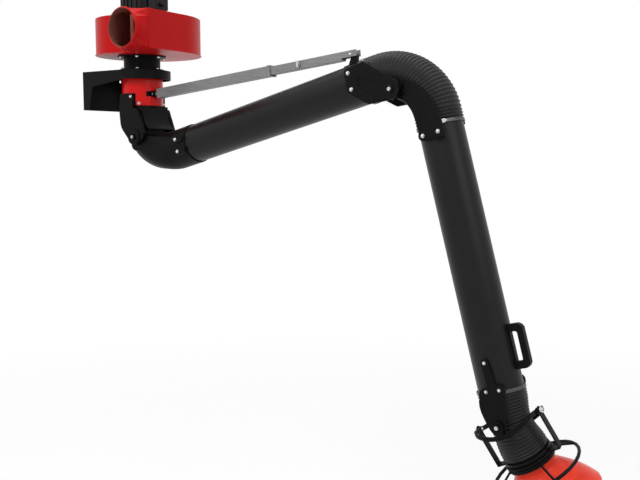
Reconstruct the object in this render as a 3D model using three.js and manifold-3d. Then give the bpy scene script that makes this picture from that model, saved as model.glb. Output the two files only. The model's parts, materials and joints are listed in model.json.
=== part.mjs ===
// Wall-mounted fume extraction arm with its fan. Millimetres, +Z up, +X out of the wall.
// The origin is the centre of the wall plate's back face, and the arm lies in the plane y = 0.
import * as THREE from 'three';
import { mergeVertices } from 'three/addons/utils/BufferGeometryUtils.js';
import Module from 'manifold-3d';

const wasm = await Module();
wasm.setup();

// Fits and facets
const FIT = 0.3;              // gap between pieces that touch
const RUN = 1.2;              // running gap between pieces that turn past each other
const ROUND = 30;             // facets round a duct
const ROUND_HOSE = 16;        // facets round a hose
const ROUND_SMALL = 12;       // facets round a pin, boss or bolt hole

// Ducts
const DUCT_R = 80;            // outside radius of the arm's tubes
const DUCT_WALL = 2.5;

// Wall bracket
const WALL_REACH = 250;       // wall face to the swivel axis
const PLATE_W = 250;
const PLATE_H = 170;
const SHEET = 5;
const LIP_NOSE = 40;          // depth of the turned-down lip at the nose
const LIP_WALL = 67;          // depth of the cheek where its slanted edge starts
const CHEEK_RETURN = 62;      // where that edge starts, from the wall
const CHEEK_FOOT = 40;        // depth of the cheek at the plate's lower edge
const WALL_BOLT_R = 6.5;
const WALL_BOLT_Y = 95;
const WALL_BOLT_Z = 55;

// Neck duct and swivel bearing
const SPIGOT_R = 74;          // spigot under the top plate
const SPIGOT_WALL = 3;
const SPIGOT_DROP = 45;       // spigot below the top plate's upper face
const FLANGE_R = 99;
const FLANGE_T = 6;
const NECK_H = 65;            // bracket top to fan floor
const BEARING_H = 7.5;
const BEARING_R = 84;

// Fan
const FAN_H = 158;
const FAN_WALL = 3;
const SCROLL_START = 171;     // radius of the scroll at its tongue
const SCROLL_GROWTH = 1 / 3;  // millimetres of radius for each degree
const TONGUE_DEG = 306;
const OUTLET_R = 80;
const OUTLET_X = 202;         // outlet axis beside the fan axis
const THROAT_Y = 232;         // end of the square throat
const OUTLET_LOFT = 46;       // square throat to round spigot
const OUTLET_SPIGOT = 24;
const OUTLET_BEAD = 3;
const FAN_RIM = 4;            // rim round the floor
const FAN_RIM_T = 3;
const MOTOR_HOLE_R = 95;

// Impeller
const IMPELLER_R = 125;
const IMPELLER_EYE_R = 74;
const IMPELLER_GAP = 14;      // floor and roof to the impeller
const BLADES = 10;
const BLADE_T = 3;
const BLADE_LEAN = 35;        // degrees back from the radius
const HUB_R = 26;
const HUB_H = 40;
const DISC_T = 4;

// Motor
const SHAFT_R = 12;
const SHAFT_GRIP = 60;        // shaft inside the motor
const MOTOR_FLANGE_R = 108;
const MOTOR_FLANGE_T = 7;
const MOTOR_R = 88;           // over the fins
const FIN_DEPTH = 8;
const FINS = 24;
const MOTOR_H = 150;
const COWL_H = 46;
const BOX_D = 36;             // terminal box
const BOX_W = 86;
const BOX_H = 84;
const BOX_Z = 28;             // box above the motor's foot
const GLAND_R = 11;
const GLAND_L = 18;
const GLAND_Z = 22;           // gland above the box's floor

// Swivel collar
const COLLAR_R = 90;
const COLLAR_WALL = 4;
const COLLAR_DROP = 26;       // top of the collar below the top plate
const COLLAR_LIP = 8;         // lip that rests on the bearing ring
const COLLAR_SKIRT = 76;      // top of the collar to its lower edge at the cheeks
const APRON = 52;             // apron below that edge, on the outer side
const APRON_X = 39;           // edge of the apron, outward of the axis
const SLOT_W = 100;
const SLOT_H = 22;
const SLOT_DROP = 77;         // top of the collar to the slot's middle
const ROD_EAR_IN = 22;        // ears in the slot, from the arm's plane
const ROD_EAR_OUT = 32;

// Shoulder
const SHOULDER_OUT = 46;      // pivot outward of the swivel axis
const SHOULDER_Z = -206;      // pivot below the wall plate's middle
const INNER_PITCH = 14.54;    // rest elevation of the inner arm, degrees
const SHOULDER_DROP = 96.4;   // pivot above the inner tube's axis
const YOKE_HALF = 78;         // half width of the recessed duct box
const YOKE_CORNER = 28;
const YOKE_WALL = 4;
const YOKE_TOP = 129;         // top of the duct box below the collar's top
const YOKE_END = 10;          // end of the duct box above the pivot
const YOKE_SWEEP = 112;       // room for the elbow's heel round the pivot
const SOCKET_R = 85.7;        // ring of the yoke inside the collar
const SOCKET_TOP = 50;        // that ring below the collar's top
const SOCKET_WALL = 7;
const CHEEK_T = 14;
const CHEEK_Y = 86;           // inner face of the cheek
const CHEEK_TAB = 38.5;       // half width of the tab beside the apron
const CHEEK_BACK = 45;        // back edge of the cheek, wall side of the axis
const CHEEK_FRONT = 68;       // front edge of the cheek, outward of the axis
const CHEEK_WAIST = 74;       // widest part of the cheek below its top
const BOSS_R = 34;
const BOSS_RISE = 6;          // boss above the cheek
const EAR_R = 28;
const EAR_T = 4;
const DISC_R = 26;
const FRICTION_T = 2.4;
const PIN_R = 8;
const PIN_HEAD_R = 13;
const PIN_HEAD_H = 6;
const ELBOW_WALL = 5;         // shoulder elbow shell
const ELBOW_R = 84;
const RIM_LIP = 50;           // lip of the elbow's opening, outward of the pivot
const HEEL_BEND = 234;        // outer bend of the elbow's heel
const HEEL_OUT = 121;         // centre of that bend, along the tube from the pivot
const SOCKET_END = 266;       // end of the elbow's socket, from the pivot
const TUBE_FROM = 150;        // start of the inner tube, from the pivot
const LUG_BACK = 43;          // bolts of the socket's lugs, from its end
const LUG_UP = 26;
const LUG_R = 17;
const LUG_T = 5;

// Inner arm and middle joint
const INNER_SPAN = 1293;      // shoulder pivot to middle pivot, along the tube
const MIDDLE_DROP = 77;       // middle pivot below the inner tube's axis
const MIDDLE_OUT = 101.5;     // outer tube's axis outward of the middle pivot
const INNER_STOP = 110;       // end of the inner tube before the middle pivot
const OUTER_LEAN = 15.31;     // rest lean of the outer arm, degrees
const HOSE_BEND = 190;        // bend radius of the middle hose
const HOSE_CREST = 86;
const HOSE_VALLEY = 83.2;
const HOSE_BORE = 76;
const HOSE_PITCH = 12.5;
const HOSE_CUFF = 18;
const HOSE_LAP = 34;          // hose over the tube's end
const CLAMP_W = 12;
const CLAMP_T = 2.4;
const JOINT_T = 12;           // cheek outside the hose
const MID_BOSS_R = 36;
const MID_BOSS_H = 15;
const MID_BOLT_BACK = 160;    // bolts of the cheek before the pivot
const BOLT_UP = 30;           // bolts each side of the tube's axis
const PAD_R = 18;
const RECESS = 4;
const LINK_R = 34;
const LINK_FOOT = 188;        // bolts of the link below the pivot

// Outer arm
const OUTER_SPAN = 1208;      // middle pivot to wrist pivot, along the tube
const OUTER_TOP = 130;        // start of the outer tube below the middle pivot
const OUTER_STOP = 95;        // end of the outer tube above the wrist pivot
const GRIP_TOP = 880;         // grab handle below the middle pivot
const GRIP_L = 157;
const GRIP_REACH = 52;
const GRIP_BAR = 24;
const GRIP_LEG = 27;
const GRIP_HALF = 12;
const WRIST_T = 6;
const WRIST_EYE_R = 32;
const STRIP_TOP = 219;        // strip of the wrist plate above the pivot
const STRIP_R = 14;
const WRIST_BOLT_UP = 121;
const WRIST_PULL = 110;       // straightness of the wrist hose below the tube
const WRIST_NECK = 0.14;      // narrowing of the wrist hose at the pivot

// Yoke and hood
const HOOD_TILT = 26.9;       // rest tilt in the arm's plane, degrees
const HOOD_SIDE = 15.1;       // rest tilt sideways, degrees
const LOOP_OUT = 113;         // yoke loop in the arm's plane
const LOOP_SQUARE = 0.4;      // fullness of the loop at the wrist pins
const LOOP_T = 6;
const LOOP_W = 16;
const LOOP_DROP = 36;         // loop below the pivots at the front and back
const YOKE_EYE_R = 22;
const STRAP_T = 5;
const STRAP_HALF = 15;
const STRAP_TOP = 15;
const HOOD_PIN_R = 6;
const FRAME_TOP = 112;        // spigot of the hood frame below the wrist pivot
const FRAME_FLANGE = 140;
const FRAME_FLANGE_R = 91;
const FRAME_FLANGE_T = 7;
const FRAME_SKIRT_R = 85;
const FRAME_END = 165;
const HOOD_NECK_R = 79.5;
const HOOD_WALL = 2.2;
const HOOD_NECK_END = 186;
const HOOD_MOUTH = 318;
const HOOD_MOUTH_R = 176;
const HOOD_BEAD = 3;
const RING_R = 161;
const RING_TUBE = 6.5;
const RING_AT = 196;
const SPOKES = 4;
const SPOKE_R = 4.5;
const SPOKE_TURN = 40;        // first spoke from the strap, degrees

// Balance rod
const ROD_OUT = 94;           // lower pivot outward of the swivel axis
const ROD_PITCH = 6.12;       // rest elevation, degrees
const ROD_LENGTH = 1034;      // lower pivot to the lever's pin, along the rod
const SLEEVE_HALF = 20;
const SLEEVE_WALL = 3.5;
const SLEEVE_FROM = 13;
const SLEEVE_TO = 646;
const SLEEVE_BEAD = 2;
const SLEEVE_BEAD_L = 14;
const KNUCKLE_R = 6;
const ROD_PIN_R = 3;
const SLIDER_WALL = 3.6;
const SLIDER_FROM = 300;
const FORK_L = 66;            // open fork at the slider's end
const FORK_END = 16;
const FORK_CUT = 8;           // fork plates cut back over the tube
const LEVER_HALF = 10;
const LEVER_HEAD_R = 12;
const LEVER_PIN_DROP = 10;    // lever's pin below the rod's middle at rest
const LEVER_PIN_R = 4;
const LEVER_FOOT = 44;
const SPRING_R = 11;
const SPRING_TO = 220;
const SPRING_PLUG = 10;
const PISTON_R = 5;
const PISTON_FROM = 105;

const BLACK = { color: 0x1b1c1c, roughness: 0.55, metalness: 0.0 };
const DUCT_BLACK = { color: 0x2a2c2b, roughness: 0.4, metalness: 0.2 };
const RUBBER = { color: 0x242424, roughness: 0.8, metalness: 0.0 };
const RED = { color: 0xc4222a, roughness: 0.35, metalness: 0.0 };
const STEEL = { color: 0x8c8d8e, roughness: 0.4, metalness: 0.9 };
const ZINC = { color: 0xc8c9ca, roughness: 0.3, metalness: 1.0 };
const CAST = { color: 0x1c1e20, roughness: 0.6, metalness: 0.3 };

const rad = THREE.MathUtils.degToRad;
const V3 = (x, y, z) => new THREE.Vector3(x, y, z);

// Turns a geometry into a closed solid with its faces outward.
function solid(geometry) {
  const bare = new THREE.BufferGeometry();
  bare.setAttribute('position', geometry.attributes.position);
  if (geometry.index) bare.setIndex(geometry.index);
  const merged = mergeVertices(bare, 1e-4);
  const xyz = merged.attributes.position;
  const index = merged.index.array;
  const tris = [];
  let volume = 0;
  const a = V3();
  const b = V3();
  const c = V3();
  for (let i = 0; i < index.length; i += 3) {
    const [p, q, r] = [index[i], index[i + 1], index[i + 2]];
    if (p === q || q === r || r === p) continue;
    tris.push(p, q, r);
    a.fromBufferAttribute(xyz, p);
    b.fromBufferAttribute(xyz, q);
    c.fromBufferAttribute(xyz, r);
    volume += a.dot(b.cross(c));
  }
  if (volume < 0) tris.reverse();
  return new wasm.Manifold(new wasm.Mesh({
    numProp: 3,
    vertProperties: new Float32Array(xyz.array),
    triVerts: new Uint32Array(tris),
  }));
}

const add = (first, ...rest) => rest.reduce((sum, s) => sum.add(s), first);
const cut = (first, ...rest) => rest.reduce((left, s) => left.subtract(s), first);
const into = (frame, s) => s.transform(frame.elements);
const shift = (s, x, y, z) => s.translate([x, y, z]);

// Outlines in a plane
const circle = (x, z, r, n = ROUND_SMALL) => Array.from({ length: n }, (_, i) => {
  const t = (2 * Math.PI * (i + 0.5)) / n;
  return [x + r * Math.cos(t), z + r * Math.sin(t)];
});

function hull(points) {
  const sorted = [...points].sort((p, q) => p[0] - q[0] || p[1] - q[1]);
  const turn = (o, p, q) => (p[0] - o[0]) * (q[1] - o[1]) - (p[1] - o[1]) * (q[0] - o[0]);
  const half = (list) => {
    const out = [];
    for (const p of list) {
      while (out.length > 1 && turn(out.at(-2), out.at(-1), p) <= 1e-9) out.pop();
      out.push(p);
    }
    out.pop();
    return out;
  };
  return [...half(sorted), ...half(sorted.reverse())];
}

// Plate outline stretched round circles [x, z, r]
const web = (...circles) => hull(circles.flatMap(([x, z, r]) => circle(x, z, r)));

const shapeOf = (outline) => new THREE.Shape(outline.map(([x, y]) => new THREE.Vector2(x, y)));

function extrude(outline, depth, holes = []) {
  const shape = shapeOf(outline);
  shape.holes = holes.map(shapeOf);
  return new THREE.ExtrudeGeometry(shape, { depth, bevelEnabled: false, curveSegments: 1 });
}

// Outline in x and z, thick along y
function prism(outline, y0, y1, holes = []) {
  const g = extrude(outline, y1 - y0, holes);
  g.rotateX(Math.PI / 2);
  g.translate(0, y1, 0);
  return solid(g);
}

// Outline in x and y, thick along z
function slab(outline, z0, z1, holes = []) {
  const g = extrude(outline, z1 - z0, holes);
  g.translate(0, 0, z0);
  return solid(g);
}

function block(x0, x1, y0, y1, z0, z1) {
  const g = new THREE.BoxGeometry(x1 - x0, y1 - y0, z1 - z0);
  g.translate((x0 + x1) / 2, (y0 + y1) / 2, (z0 + z1) / 2);
  return solid(g);
}

function bar(from, to, r, n = ROUND_SMALL) {
  const axis = to.clone().sub(from);
  const g = new THREE.CylinderGeometry(r, r, axis.length(), n);
  g.applyQuaternion(new THREE.Quaternion().setFromUnitVectors(V3(0, 1, 0), axis.clone().normalize()));
  g.translate(...from.clone().add(to).multiplyScalar(0.5).toArray());
  return solid(g);
}

// Closed profile [r, z] turned round the z axis
function revolve(profile, n = ROUND) {
  const points = profile.map(([r, z]) => new THREE.Vector2(r, z));
  if (profile[0][0] > 0) points.push(points[0].clone());
  const g = new THREE.LatheGeometry(points, n);
  g.rotateX(Math.PI / 2);
  return solid(g);
}

// Skin through rings of points, capped at both ends or closed on itself
function loft(rings, closed = false) {
  const n = rings[0].length;
  const xyz = rings.flat().flatMap((p) => p.toArray());
  const index = [];
  const last = closed ? rings.length : rings.length - 1;
  for (let i = 0; i < last; i += 1) {
    const k = (i + 1) % rings.length;
    for (let j = 0; j < n; j += 1) {
      const m = (j + 1) % n;
      index.push(i * n + j, i * n + m, k * n + m, i * n + j, k * n + m, k * n + j);
    }
  }
  if (!closed) {
    for (const [i, flip] of [[0, true], [rings.length - 1, false]]) {
      const middle = rings[i].reduce((s, p) => s.add(p), V3(0, 0, 0)).divideScalar(n);
      const hub = xyz.length / 3;
      xyz.push(...middle.toArray());
      for (let j = 0; j < n; j += 1) {
        const m = (j + 1) % n;
        index.push(hub, i * n + (flip ? m : j), i * n + (flip ? j : m));
      }
    }
  }
  const g = new THREE.BufferGeometry();
  g.setAttribute('position', new THREE.Float32BufferAttribute(xyz, 3));
  g.setIndex(index);
  return solid(g);
}

// Ring of a route's cross-section: a is its in-plane axis and b stands out of the plane.
function ringAt({ c, a, b, stretch = 1, neck = 1 }, r, n) {
  return Array.from({ length: n }, (_, i) => {
    const t = (2 * Math.PI * (i + 0.5)) / n;
    return c.clone().addScaledVector(a, r * stretch * Math.cos(t)).addScaledVector(b, r * neck * Math.sin(t));
  });
}

// Ribbed hose on a route: crests between plain cuffs, and a bore that widens at each end
function hose({ at, length }, { crest, valley, bore, pitch, cuff, ends, seats, lap, n }) {
  const ribs = Math.round((length - 2 * cuff) / pitch);
  const step = (length - 2 * cuff) / ribs;
  const outer = [[0, ends[0]], [cuff - 1, ends[0]], [cuff, valley]];
  for (let k = 0; k < ribs; k += 1) {
    outer.push([cuff + (k + 0.5) * step, crest], [cuff + (k + 1) * step, valley]);
  }
  outer.push([length - cuff + 1, ends[1]], [length, ends[1]]);
  const inner = [[0, seats[0]], [lap, seats[0]]];
  const taper = lap + cuff / 2;
  const spans = Math.max(2, Math.round((length - 2 * taper) / (5 * step)));
  for (let k = 0; k <= spans; k += 1) inner.push([taper + ((length - 2 * taper) * k) / spans, bore]);
  inner.push([length - lap, seats[1]], [length, seats[1]]);
  const rings = [...outer, ...inner.reverse()].map(([s, r]) => ringAt(at(s), r, n));
  return loft(rings, true);
}

// Circle round n facets whose flats stay outside a radius
const clear = (r, n) => r / Math.cos(Math.PI / n);

// Frames of the moving parts
const flat = (deg) => V3(Math.cos(rad(deg)), 0, Math.sin(rad(deg)));
const frameOf = (x, y, z, origin) => new THREE.Matrix4().makeBasis(x, y, z).setPosition(origin);
const Y = V3(0, 1, 0);
const plateTop = PLATE_H / 2;
const swivel = V3(WALL_REACH, 0, 0);

const along = flat(INNER_PITCH);
const above = flat(INNER_PITCH + 90);
const shoulder = V3(WALL_REACH + SHOULDER_OUT, 0, SHOULDER_Z);
const innerFoot = shoulder.clone().addScaledVector(above, -SHOULDER_DROP);
const innerFrame = frameOf(along, Y, above, innerFoot);

const outward = flat(OUTER_LEAN);
const upward = flat(OUTER_LEAN + 90);
const middle = innerFoot.clone().addScaledVector(along, INNER_SPAN).addScaledVector(above, -MIDDLE_DROP);
const outerFoot = middle.clone().addScaledVector(outward, MIDDLE_OUT);
const outerFrame = frameOf(outward, Y, upward, outerFoot);
const wrist = outerFoot.clone().addScaledVector(upward, -OUTER_SPAN);

const cross = flat(HOOD_TILT);
const back = flat(HOOD_TILT + 90);
const yokeFrame = frameOf(cross, Y, back, wrist);
const hoodUp = back.clone().multiplyScalar(Math.cos(rad(HOOD_SIDE))).addScaledVector(Y, -Math.sin(rad(HOOD_SIDE)));
const hoodFrame = frameOf(cross, hoodUp.clone().cross(cross), hoodUp, wrist);

const collarTop = plateTop - COLLAR_DROP;
const rodFoot = V3(WALL_REACH + ROD_OUT, 0, collarTop - SLOT_DROP);
const rodFrame = frameOf(flat(ROD_PITCH), Y, flat(ROD_PITCH + 90), rodFoot);

const parts = [];
function piece(name, s, look) {
  if (s.isEmpty()) throw new Error(`${name} has no volume`);
  const mesh = s.getMesh();
  const g = new THREE.BufferGeometry();
  g.setAttribute('position', new THREE.Float32BufferAttribute(Array.from(mesh.vertProperties), 3));
  g.setIndex(Array.from(mesh.triVerts));
  g.computeVertexNormals();
  const m = new THREE.Mesh(g, new THREE.MeshStandardMaterial(look));
  m.name = name;
  parts.push(m);
}

// Wall bracket: bent sheet with a round nose
function wallBracket() {
  const half = PLATE_W / 2;
  const bolts = [];
  for (const y of [-WALL_BOLT_Y, WALL_BOLT_Y]) {
    for (const z of [-WALL_BOLT_Z, WALL_BOLT_Z]) bolts.push(bar(V3(-1, y, z), V3(SHEET + 1, y, z), WALL_BOLT_R));
  }
  const plate = cut(block(0, SHEET, -half, half, -plateTop, plateTop), ...bolts);
  const nose = (r) => Array.from({ length: ROUND / 2 + 1 }, (_, i) => {
    const t = -Math.PI / 2 + (Math.PI * i) / (ROUND / 2);
    return [WALL_REACH + r * Math.cos(t), r * Math.sin(t)];
  });
  const hole = circle(WALL_REACH, 0, clear(SPIGOT_R + FIT, ROUND), ROUND);
  const top = slab([[0, -half], ...nose(half), [0, half]], plateTop - SHEET, plateTop, [hole]);
  const lip = slab([...nose(half), ...nose(half - SHEET).reverse()], plateTop - LIP_NOSE, plateTop);
  const side = [
    [0, plateTop], [WALL_REACH, plateTop], [WALL_REACH, plateTop - LIP_NOSE],
    [CHEEK_RETURN, plateTop - LIP_WALL], [CHEEK_FOOT, -plateTop], [0, -plateTop],
  ];
  return add(plate, top, lip, prism(side, -half, SHEET - half), prism(side, half - SHEET, half));
}
piece('wall_bracket', wallBracket(), BLACK);

// Neck duct between the bracket and the fan, with the spigot that carries the swivel
const onAxis = (s) => shift(s, WALL_REACH, 0, 0);
const fanFloor = plateTop + NECK_H;
const spigotEnd = plateTop - SPIGOT_DROP;
piece('neck_duct', onAxis(revolve([
  [SPIGOT_R - SPIGOT_WALL, spigotEnd], [SPIGOT_R, spigotEnd], [SPIGOT_R, plateTop + FIT],
  [FLANGE_R, plateTop + FIT], [FLANGE_R, plateTop + FIT + FLANGE_T],
  [DUCT_R, plateTop + FIT + FLANGE_T], [DUCT_R, fanFloor - FIT - FLANGE_T],
  [FLANGE_R + FLANGE_T, fanFloor - FIT - FLANGE_T], [FLANGE_R + FLANGE_T, fanFloor - FIT],
  [SPIGOT_R - SPIGOT_WALL, fanFloor - FIT],
])), BLACK);
const lipUnder = collarTop - COLLAR_LIP;
piece('swivel_ring', onAxis(revolve([
  [clear(SPIGOT_R + FIT, ROUND), lipUnder - FIT - BEARING_H], [BEARING_R, lipUnder - FIT - BEARING_H],
  [BEARING_R, lipUnder - FIT], [clear(SPIGOT_R + FIT, ROUND), lipUnder - FIT],
])), STEEL);

// Fan housing: scroll, square throat and round outlet
const fanTop = fanFloor + FAN_H;
const fanMiddle = (fanFloor + fanTop) / 2;
function scroll(grow) {
  const turns = 30;
  const outline = Array.from({ length: turns + 1 }, (_, i) => {
    const swept = (TONGUE_DEG * i) / turns;
    const r = SCROLL_START + grow + SCROLL_GROWTH * swept;
    const t = rad(TONGUE_DEG - swept);
    return [WALL_REACH + r * Math.cos(t), r * Math.sin(t)];
  });
  const middleX = WALL_REACH + OUTLET_X;
  return [...outline, [middleX + OUTLET_R + grow, -THROAT_Y], [middleX - OUTLET_R - grow, -THROAT_Y]];
}
function throat(inset, from, to) {
  const square = (t) => {
    const c = Math.cos(t);
    const s = Math.sin(t);
    return Math.min((OUTLET_R - inset) / Math.abs(c), (FAN_H / 2 - inset) / Math.abs(s));
  };
  const ring = (y, reach) => Array.from({ length: 24 }, (_, i) => {
    const t = (2 * Math.PI * i) / 24;
    return V3(WALL_REACH + OUTLET_X + reach(t) * Math.cos(t), y, fanMiddle + reach(t) * Math.sin(t));
  });
  const round = () => OUTLET_R - inset;
  const loftEnd = -THROAT_Y - OUTLET_LOFT;
  return loft([ring(-from, square), ring(-THROAT_Y, square), ring(loftEnd, round), ring(loftEnd - to, round)]);
}
function fanHousing() {
  const bead = shift(revolve([
    [OUTLET_R - 1, 0], [OUTLET_R, 0], [OUTLET_R + OUTLET_BEAD, 2], [OUTLET_R + OUTLET_BEAD, 5],
    [OUTLET_R, 7], [OUTLET_R - 1, 7],
  ], 24), 0, 0, 0);
  const beadAt = new THREE.Matrix4().makeRotationX(Math.PI / 2)
    .setPosition(WALL_REACH + OUTLET_X, -THROAT_Y - OUTLET_LOFT - OUTLET_SPIGOT + 9, fanMiddle);
  const rim = slab(scroll(FAN_RIM), fanFloor, fanFloor + FAN_RIM_T);
  const body = add(slab(scroll(0), fanFloor, fanTop), rim, throat(0, THROAT_Y - 1, OUTLET_SPIGOT));
  const inside = add(
    slab(scroll(-FAN_WALL), fanFloor + FAN_WALL, fanTop - FAN_WALL),
    throat(FAN_WALL, THROAT_Y - 2, OUTLET_SPIGOT + 2),
    bar(V3(WALL_REACH, 0, fanFloor - 1), V3(WALL_REACH, 0, fanMiddle), SPIGOT_R + 2, ROUND),
    bar(V3(WALL_REACH, 0, fanMiddle), V3(WALL_REACH, 0, fanTop + 1), MOTOR_HOLE_R, ROUND),
  );
  return cut(add(body, into(beadAt, bead)), inside);
}
piece('fan_housing', fanHousing(), RED);

// Impeller on the motor's shaft
const impellerLow = fanFloor + FAN_WALL + IMPELLER_GAP;
const impellerHigh = fanTop - FAN_WALL - IMPELLER_GAP;
function impeller() {
  const blades = [];
  const reach = (IMPELLER_R - IMPELLER_EYE_R) / Math.cos(rad(BLADE_LEAN)) - 2 * BLADE_T;
  for (let i = 0; i < BLADES; i += 1) {
    const m = new THREE.Matrix4().makeRotationZ((2 * Math.PI * i) / BLADES)
      .multiply(new THREE.Matrix4().makeTranslation((IMPELLER_R + IMPELLER_EYE_R) / 2, 0, 0))
      .multiply(new THREE.Matrix4().makeRotationZ(rad(BLADE_LEAN)));
    const blade = block(-reach / 2, reach / 2, -BLADE_T / 2, BLADE_T / 2, impellerLow + 1, impellerHigh - 1);
    blades.push(into(m, blade));
  }
  const plate = revolve([[0, impellerHigh - DISC_T], [IMPELLER_R, impellerHigh - DISC_T],
    [IMPELLER_R, impellerHigh], [0, impellerHigh]]);
  const shroud = revolve([[IMPELLER_EYE_R, impellerLow], [IMPELLER_R, impellerLow],
    [IMPELLER_R, impellerLow + DISC_T], [IMPELLER_EYE_R, impellerLow + DISC_T]]);
  const hub = bar(V3(0, 0, impellerHigh - HUB_H), V3(0, 0, impellerHigh - 1), HUB_R);
  const bore = bar(V3(0, 0, impellerLow), V3(0, 0, impellerHigh + 1), clear(SHAFT_R + FIT, ROUND_SMALL));
  return cut(add(plate, shroud, hub, ...blades), bore);
}
piece('impeller', onAxis(impeller()), STEEL);
const motorFoot = fanTop + FIT + MOTOR_FLANGE_T;
piece('motor_shaft', bar(V3(WALL_REACH, 0, impellerHigh - HUB_H), V3(WALL_REACH, 0, motorFoot + SHAFT_GRIP), SHAFT_R), ZINC);

// Motor
const shaftRoom = clear(SHAFT_R + FIT, ROUND_SMALL);
piece('motor_flange', onAxis(revolve([
  [SHAFT_R + 2, fanTop + FIT], [MOTOR_FLANGE_R, fanTop + FIT], [MOTOR_FLANGE_R, motorFoot], [SHAFT_R + 2, motorFoot],
])), CAST);
const motorTop = motorFoot + FIT + MOTOR_H;
function motorBody() {
  const outline = [];
  for (let i = 0; i < FINS; i += 1) {
    for (const [r, turn] of [[MOTOR_R - FIN_DEPTH, 0.1], [MOTOR_R, 0.2], [MOTOR_R, 0.6], [MOTOR_R - FIN_DEPTH, 0.7]]) {
      const t = (2 * Math.PI * (i + turn - 0.4)) / FINS;
      outline.push([r * Math.cos(t), r * Math.sin(t)]);
    }
  }
  const core = slab(outline, motorFoot + FIT, motorTop);
  return cut(core, bar(V3(0, 0, motorFoot), V3(0, 0, motorFoot + SHAFT_GRIP + 2), shaftRoom));
}
piece('motor_body', onAxis(motorBody()), CAST);
piece('motor_cowl', onAxis(revolve([
  [0, motorTop + FIT], [MOTOR_R, motorTop + FIT], [MOTOR_R, motorTop + COWL_H * 0.55],
  [MOTOR_R - 5, motorTop + COWL_H * 0.8], [MOTOR_R - 16, motorTop + COWL_H * 0.95],
  [MOTOR_R - 30, motorTop + COWL_H], [0, motorTop + COWL_H],
])), CAST);
const boxBack = WALL_REACH + MOTOR_R + FIT;
const boxLow = motorFoot + BOX_Z;
piece('terminal_box', block(boxBack, boxBack + BOX_D, -BOX_W / 2, BOX_W / 2, boxLow, boxLow + BOX_H), CAST);
const glandBack = boxBack + BOX_D + FIT;
const glandFrame = new THREE.Matrix4().makeRotationY(Math.PI / 2).setPosition(glandBack, 0, boxLow + GLAND_Z);
piece('cable_gland', into(glandFrame, revolve([
  [0, 0], [GLAND_R, 0], [GLAND_R, GLAND_L * 0.6], [GLAND_R - 3, GLAND_L], [0, GLAND_L],
], 6)), CAST);

// Swivel collar with its apron, and the ears of the balance rod in its slot
const collarEdge = collarTop - COLLAR_SKIRT;
function swivelCollar() {
  const inner = COLLAR_R - COLLAR_WALL;
  const shell = revolve([
    [inner, collarEdge - APRON], [COLLAR_R, collarEdge - APRON], [COLLAR_R, collarTop],
    [SPIGOT_R + RUN, collarTop], [SPIGOT_R + RUN, lipUnder], [inner, lipUnder],
  ]);
  const skirtCut = block(-COLLAR_R - 1, APRON_X, -COLLAR_R - 1, COLLAR_R + 1, collarEdge - APRON - 1, collarEdge);
  const slotZ = collarTop - SLOT_DROP;
  const slot = block(APRON_X, COLLAR_R + 1, -SLOT_W / 2, SLOT_W / 2, slotZ - SLOT_H / 2, slotZ + SLOT_H / 2);
  const ear = (y0, y1) => cut(
    block(inner - 8, ROD_OUT + 6, y0, y1, slotZ - SLOT_H / 2 - 2, slotZ + SLOT_H / 2 + 2),
    bar(V3(ROD_OUT, y0 - 1, slotZ), V3(ROD_OUT, y1 + 1, slotZ), clear(ROD_PIN_R + FIT, ROUND_SMALL)),
  );
  return add(cut(shell, skirtCut, slot), ear(ROD_EAR_IN, ROD_EAR_OUT), ear(-ROD_EAR_OUT, -ROD_EAR_IN));
}
piece('swivel_collar', onAxis(swivelCollar()), RED);
piece('rod_pin', bar(rodFoot.clone().setY(-ROD_EAR_OUT), rodFoot.clone().setY(ROD_EAR_OUT), ROD_PIN_R), ZINC);

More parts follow.
